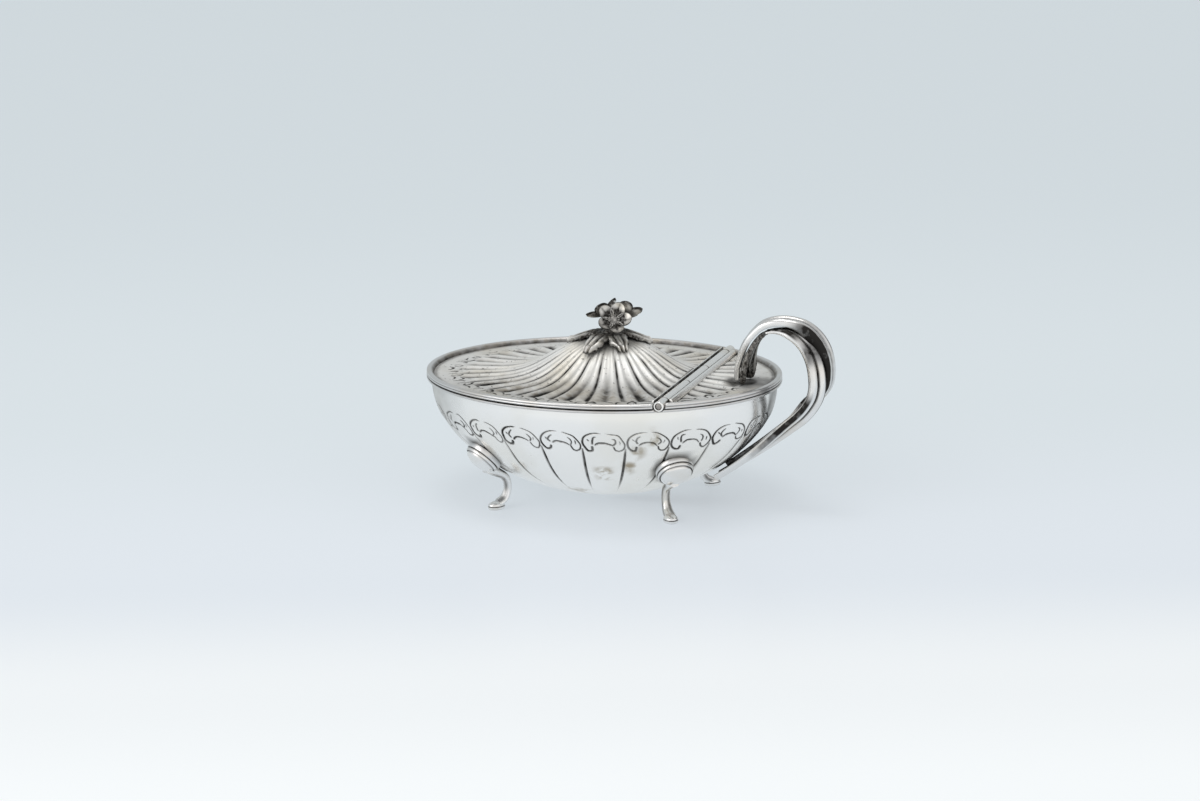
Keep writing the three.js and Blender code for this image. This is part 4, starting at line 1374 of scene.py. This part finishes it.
reed_crown = strap_half - reed_radius
reeds_across = np.linspace(strap_half, -strap_half, 33)
reed_height = np.sqrt(np.maximum(
    reed_radius ** 2 - (np.abs(reeds_across) - reed_crown) ** 2, 0
)) - 0.5 * hump(reeds_across, 0.16)
hollow_across = np.linspace(-strap_half * 0.97, strap_half * 0.97, 15)
hollow_height = -0.95 + 0.55 * np.cos(hollow_across / strap_half * math.pi / 2)
side_depths = np.array([0.35, 0.62])
strap_section = np.concatenate([
    np.stack([reeds_across, reed_height], -1),
    np.stack([[-strap_half] * 2, -side_depths], -1),
    np.stack([hollow_across, hollow_height], -1),
    np.stack([[strap_half] * 2, -side_depths[::-1]], -1),
])
near_wall = np.concatenate([
    0 * reeds_across, side_depths, smooth(-1.0, -3.0, hollow_across), [0, 0]
])
# Where painted shade goes on a section: the reeds' outer flanks, a band on the near flank and the
# inside of the hollow.
flank = smooth(reed_crown + 0.4, reed_crown + 0.9, np.abs(reeds_across))
near_band = smooth(-reed_crown - 0.2, -reed_crown - 0.75, reeds_across)
hollow_inside_shade = smooth(1.0, 0.93, np.abs(hollow_across) / strap_half)


def strap_painted_shade(near_flank, far_flank, shade, edge_shade, groove_half, band=0.0):
    """The painted shade on the points of a section: on its two flanks, in its groove and hollow,
    and over the reeds.
    """
    sides = np.where(reeds_across < 0, near_flank, far_flank)
    groove = 0.95 * hump(reeds_across, groove_half)
    reeds = np.maximum(np.maximum(groove, flank * sides), shade)
    edge = smooth(strap_half, strap_half - 0.15, -reeds_across)
    reeds = reeds * (edge_shade + (1 - edge_shade) * edge)
    inside_sides = np.where(hollow_across < 0, near_flank, far_flank)
    inside = np.maximum(hollow_inside_shade, inside_sides * edge_shade)
    return np.concatenate([
        np.maximum(reeds, band * near_band), [near_flank * edge_shade] * 2, inside, [far_flank] * 2
    ])


def beside_front(along):
    return smooth(0.28, 0.38, along) * smooth(0.74, 0.64, along)


def back_strap(along):
    """The back strap at a share of its length: its tilt, its size, how much deeper its near wall
    is, and how dark its points are: painted shade beside the front strap, a painted dark reflection
    over its lower end, and some darkening at its root."""
    tilt = 0.1
    size = 0.7 + 0.3 * smooth(0, 0.16, along)
    deeper = 1.7 * beside_front(along)
    rooted = smooth(0.07, 0.0, along)
    lower = smooth(0.78, 0.92, along)
    near_flank = 0.1 + 1.2 * beside_front(along) + 0.8 * lower
    shade = 0.12 + 0.3 * rooted + 0.7 * lower * smooth(1.5, -0.5, reeds_across)
    dark = strap_painted_shade(near_flank, far_flank=0.5, shade=shade, edge_shade=1, groove_half=0.8)
    return tilt, size, deeper, dark


def front_strap(along):
    """The front strap at a share of its length, in the same way. Its start is painted dark as shade
    under the back strap, but for a rubbed spot, and its far flank and a band on its near flank
    carry painted shade.
    """
    tilt = 0.75 * smooth(0.05, 0.35, along) * (1 - smooth(0.5, 0.95, along))
    size = 0.5 + 0.5 * smooth(0, 0.12, along)
    under_back = 1 - smooth(0.22, 0.32, along)
    shade = under_back * (1 - 0.6 * hump(along - 0.17, 0.03))
    far_flank = 1 - 0.7 * smooth(0.5, 0.7, along)
    band = 1.08 * smooth(0.38, 0.46, along) * smooth(0.88, 0.62, along)
    edge_shade = 1 - under_back
    dark = strap_painted_shade(0.05, far_flank, shade, edge_shade, groove_half=0.45, band=band)
    return tilt, size, 0.0, dark


strap_silver = silver(
    "strap_silver", bright=(0.84, 0.835, 0.82), warm=(0.74, 0.70, 0.64), dark=(0.03, 0.028, 0.026),
    roughness=0.2, wear_scale=70.0, waviness=0.04,
)
back_line = strap_line(back_loop, back_root, count=150)
front_line = strap_line(front_loop, front_root, count=130)
for name, node, line, strap_at in (
    ("handle_strap_rear", "handle_strap_back", back_line, back_strap),
    ("handle_strap_fore", "handle_strap_front", front_line, front_strap),
):
    rings, darks = [], []
    for place, way, along in zip(line, line_ways(line), np.linspace(0, 1, len(line))):
        tilt, size, deeper, dark = strap_at(along)
        across = along_y - way * way[1]
        across /= np.linalg.norm(across)
        across = np.array(Quaternion(Vector(way), tilt) @ Vector(across))
        outward = np.cross(way, across)
        sideways, up = strap_section.T * size
        up = up - deeper * near_wall
        rings.append(place + sideways[:, None] * across + up[:, None] * outward)
        darks.append(dark)
    mesh = outward_mesh(name, *sleeve(rings))
    paint(mesh, "tarnish", np.concatenate(darks))
    piece = make_piece(name, mesh, strap_silver, crease=60)
    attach(piece, "dish")
    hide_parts(node)

# Leaf of the handle
# A cast leaf with three lobes at its foot, standing on the rear cover behind the strap. Its
# veins are sunk and dark, and it carries painted shade and patina all over but for its raised ribs.

leaf_stem = (
    (0.043, 0, 0.194), (0.055, 0, 0.297), (0.08, 0, 0.401), (0.11, 0, 0.504), (0.147, 0, 0.603),
    (0.196, 0, 0.703), (0.258, 0, 0.797), (0.3, -0.03, 0.83),
)
leaf_foot_width = 14
leaf_tip_width = strap_half * 1.6
leaf_thickness = 1.4
foot_curl = 2.2
tip_curl = 0.2
leaf_points = [handle_point(*point) for point in leaf_stem]
leaf_foot = (leaf_points[0][0] - 0.1, 0, lid_edge_top + 0.45)
leaf_rows = 44
leaf_columns = 41
leaf_line = through([leaf_foot, *leaf_points], leaf_rows)
along = np.linspace(0, 1, leaf_rows)[:, None]
across = np.linspace(-1, 1, leaf_columns)[None, :]
leaf_way = line_ways(leaf_line)
leaf_back = np.cross(along_y, leaf_way)[:, None, :]
narrowed = smooth(0, 0.95, along)
edge_lobes = 1 + 0.06 * np.sin(along * 5 * math.pi) * (1 - along)
half = (leaf_foot_width + (leaf_tip_width - leaf_foot_width) * narrowed) / 2 * edge_lobes
curl = (foot_curl + (tip_curl - foot_curl) * narrowed) * across ** 2
veins = 0.28 * np.cos(4.5 * math.pi * across) * (1 - 0.6 * along)
notch = 4.6 * np.abs(np.sin(1.5 * math.pi * across)) ** 5 * (1 - smooth(0, 0.3, along))
leaf_grid = (
    leaf_line[:, None, :]
    + (half * across)[..., None] * along_y
    + notch[..., None] * leaf_way[:, None, :]
)
leaf_front = leaf_grid + (curl - veins * 0.5)[..., None] * leaf_back
leaf_rear = leaf_grid + (curl + leaf_thickness + veins * 0.7)[..., None] * leaf_back
leaf_mesh = outward_mesh("handle_leaf_cast", *slab(leaf_front, leaf_rear))
# The leaf is painted dark with shade and patina, its raised ribs left lighter.
raised_vein = np.clip(np.cos(4.5 * math.pi * across), 0, 1) ** 1.5
vein_dark = 0.92 - 0.62 * raised_vein * smooth(0.02, 0.15, along)
paint(leaf_mesh, "tarnish", np.tile(vein_dark.ravel(), 2))
# Painted shade on the rear cover round the leaf's foot, and a wider, fainter one beside it.
add_painted_shade(fluted_rear, leaf_foot, near=4.5, far=8, strength=0.85)
add_painted_shade(fluted_rear, np.array(leaf_foot) + (4, 0, 0), near=5, far=14, strength=0.55)
piece = make_piece("handle_leaf_cast", leaf_mesh, cast_silver, crease=60)
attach(piece, "dish")
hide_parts("handle_leaf")

# Feet
# Each is cast in one: a banded dome, a leg that bends out and a flat toe with a groove round
# it. A thin plate is soldered between the dome and the bowl.

foot_reach = np.array([32.7, 25.1])
boss_height = 20.5
plate_thickness = 0.9
plate_radius = 6.8
band_radius = 6.5
band_thickness = 1.2
dome_radius = 5.7
dome_rise = 2.5
leg_thickness = 3.0
leg_inset = 4.9
toe_half_length = 3.3
toe_half_width = 2.6
toe_height = 2.2
seam = 0.1
foot_way = foot_reach / (bowl_half_length ** 2, bowl_half_width ** 2)
foot_way /= np.linalg.norm(foot_way)


def bowl_reach(z):
    """From above the toe out to the bowl's side at a height."""
    share = wall_share(z)
    return reach_to_oval(foot_reach, foot_way, bowl_half_length * share, bowl_half_width * share)


seat_out = np.array([1, 0, bowl_reach(boss_height - 0.5) - bowl_reach(boss_height + 0.5)])
seat_out /= np.linalg.norm(seat_out)
seat_down = np.array([seat_out[2], 0, -seat_out[0]])
seat_point = np.array([bowl_reach(boss_height), 0, boss_height])
seat_point = seat_point + seat_out * (lobe_bulge / 2 + seam)
boss_sides = 48
boss_base = plate_thickness + seam
band_top = boss_base + band_thickness


def on_seat(section):
    return lathe(section, boss_sides, seat_point, seat_out, seat_down, along_y)


dome_section = [
    (0.3, boss_base), (band_radius - 0.2, boss_base), (band_radius, boss_base + 0.2),
    (band_radius, boss_base + band_thickness * 0.6),
    (band_radius - 0.25, boss_base + band_thickness * 0.95),
    (dome_radius + 0.25, band_top),
    (dome_radius + 0.05, boss_base + band_thickness * 0.8),
]
dome_base = boss_base + band_thickness * 0.85
dome_section += [
    (dome_radius * math.cos(turn), dome_base + (dome_rise + 0.15) * math.sin(turn))
    for turn in np.linspace(0, math.pi / 2, 12)[:-1]
]
dome_section.append((0.05, band_top + dome_rise))
# Painted shade at the dome's foot and in the groove between the band and the dome.
dome_dark = [1, 0.9, 0.3, 0.0, 0.2, 0.85, 1, 0.9, 0.35] + [0] * 10
leg_start = seat_point + seat_out * (plate_thickness + dome_rise * 0.6)
leg_start = leg_start + seat_down * (band_radius * 2 * 0.28)
start_x, _, start_z = leg_start
leg_rows = 40
leg_sides = 24
leg_line = through([
    (start_x, 0, start_z), (0.12 * start_x - 1.1, 0, start_z * 0.84),
    (1 - leg_inset, 0, start_z * 0.7), (-leg_inset, 0, start_z * 0.53),
    (0.2 - leg_inset, 0, start_z * 0.36), (1.6 - leg_inset, 0, toe_height + 1),
    (4 - leg_inset, 0, toe_height * 0.85),
], leg_rows)
leg_turns = even_turns(leg_sides)[:, None]
leg_shares = np.linspace(0, 1, leg_rows)
leg_rings = []
for place, way, along in zip(leg_line, line_ways(leg_line), leg_shares):
    out = np.array([-way[2], 0, way[0]])
    half = leg_thickness / 2 * (1.5 - 0.5 * smooth(0, 0.4, along))
    half_across = half * (1 + 0.35 * smooth(0.65, 1, along))
    ridge = 1 + 0.10 * np.cos(3 * leg_turns) * smooth(0.1, 0.4, along)
    sideways = np.cos(leg_turns) * half_across * ridge
    leg_rings.append(place + sideways * along_y + np.sin(leg_turns) * half * ridge * out)
# Painted shade in the leg's three valleys.
leg_valleys = 0.75 * np.clip(0.5 - 0.5 * np.cos(3 * leg_turns), 0, 1) ** 1.5
leg_dark = (smooth(0.05, 0.3, leg_shares)[:, None] * leg_valleys.T).ravel()
# Each ring of the toe: its share of the toe's size and of its height, its shift, and how dark
toe_section = (
    (0.5, 0, 0, 0.3), (0.9, 0, 0, 0.3), (0.96, 0.08, 0, 0.1), (1.0, 0.25, 0, 0),
    (0.99, 0.42, 0, 0.2), (0.9, 0.48, 0, 0.9), (0.9, 0.52, 0, 0.9), (0.96, 0.6, 0, 0.2),
    (0.95, 0.75, 0, 0), (0.86, 0.92, 0.1, 0), (0.66, 1.1, 0.3, 0), (0.4, 1.22, 0.7, 0.2),
    (0.1, 1.26, 0.9, 0.4),
)
toe_sides = 40
toe_turns = even_turns(toe_sides)
toe_rings = [
    np.stack([
        toe_half_length * size * np.cos(toe_turns) - shift,
        toe_half_width * size * np.sin(toe_turns),
        z * toe_height + 0 * toe_turns,
    ], -1)
    for size, z, shift, _ in toe_section
]
toe_dark = np.repeat([dark for *_, dark in toe_section], toe_sides)
foot_shells = gather(on_seat(dome_section), sleeve(leg_rings), sleeve(toe_rings))
foot_dark = np.concatenate([np.repeat(dome_dark, boss_sides), leg_dark, toe_dark])
plate_shell = on_seat((
    (0.3, -0.9), (plate_radius, -0.9), (plate_radius, plate_thickness - 0.25),
    (plate_radius - 0.25, plate_thickness), (0.3, plate_thickness),
))
# Painted shade on the plate's underside and its inner top, where it meets the bowl and the dome.
plate_dark = np.repeat([1, 0.5, 0.1, 0.8, 1], boss_sides)
foot_silver = silver(
    "foot_silver", bright=(0.86, 0.855, 0.84), warm=(0.77, 0.73, 0.66), dark=(0.06, 0.055, 0.05),
    roughness=0.2, wear_scale=60.0, waviness=0.03,
)
for corner, side_x, side_y in (
    ("front_right", 1, -1), ("front_left", -1, -1), ("back_left", -1, 1), ("back_right", 1, 1)
):
    angle = math.atan2(side_y * foot_way[1], side_x * foot_way[0])
    cosine, sine = math.cos(angle), math.sin(angle)
    spun = np.array([[cosine, sine, 0], [-sine, cosine, 0], [0, 0, 1]])
    place = np.array([side_x * foot_reach[0], side_y * foot_reach[1], 0])
    # Painted shade on the bowl round each plate, on the side that faces the foot.
    add_painted_shade(
        bowl, seat_point @ spun + place, near=plate_radius, far=plate_radius + 3, strength=0.75,
        facing=seat_out @ spun,
    )
    for name, node, (points, faces), dark in (
        ("foot_cast_" + corner, "foot_" + corner, foot_shells, foot_dark),
        ("foot_disc_" + corner, "foot_plate_" + corner, plate_shell, plate_dark),
    ):
        mesh = outward_mesh(name, points @ spun + place, faces)
        paint(mesh, "tarnish", dark)
        piece = make_piece(name, mesh, foot_silver, crease=45)
        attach(piece, "dish")
        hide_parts(node)

# Washer and nut
# Turned steel inside the lid, under the finial's stem, in their own dull metal.

for name in ("finial_washer", "finial_nut"):
    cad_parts[name].data.materials.clear()
    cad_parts[name].data.materials.append(pin_steel)
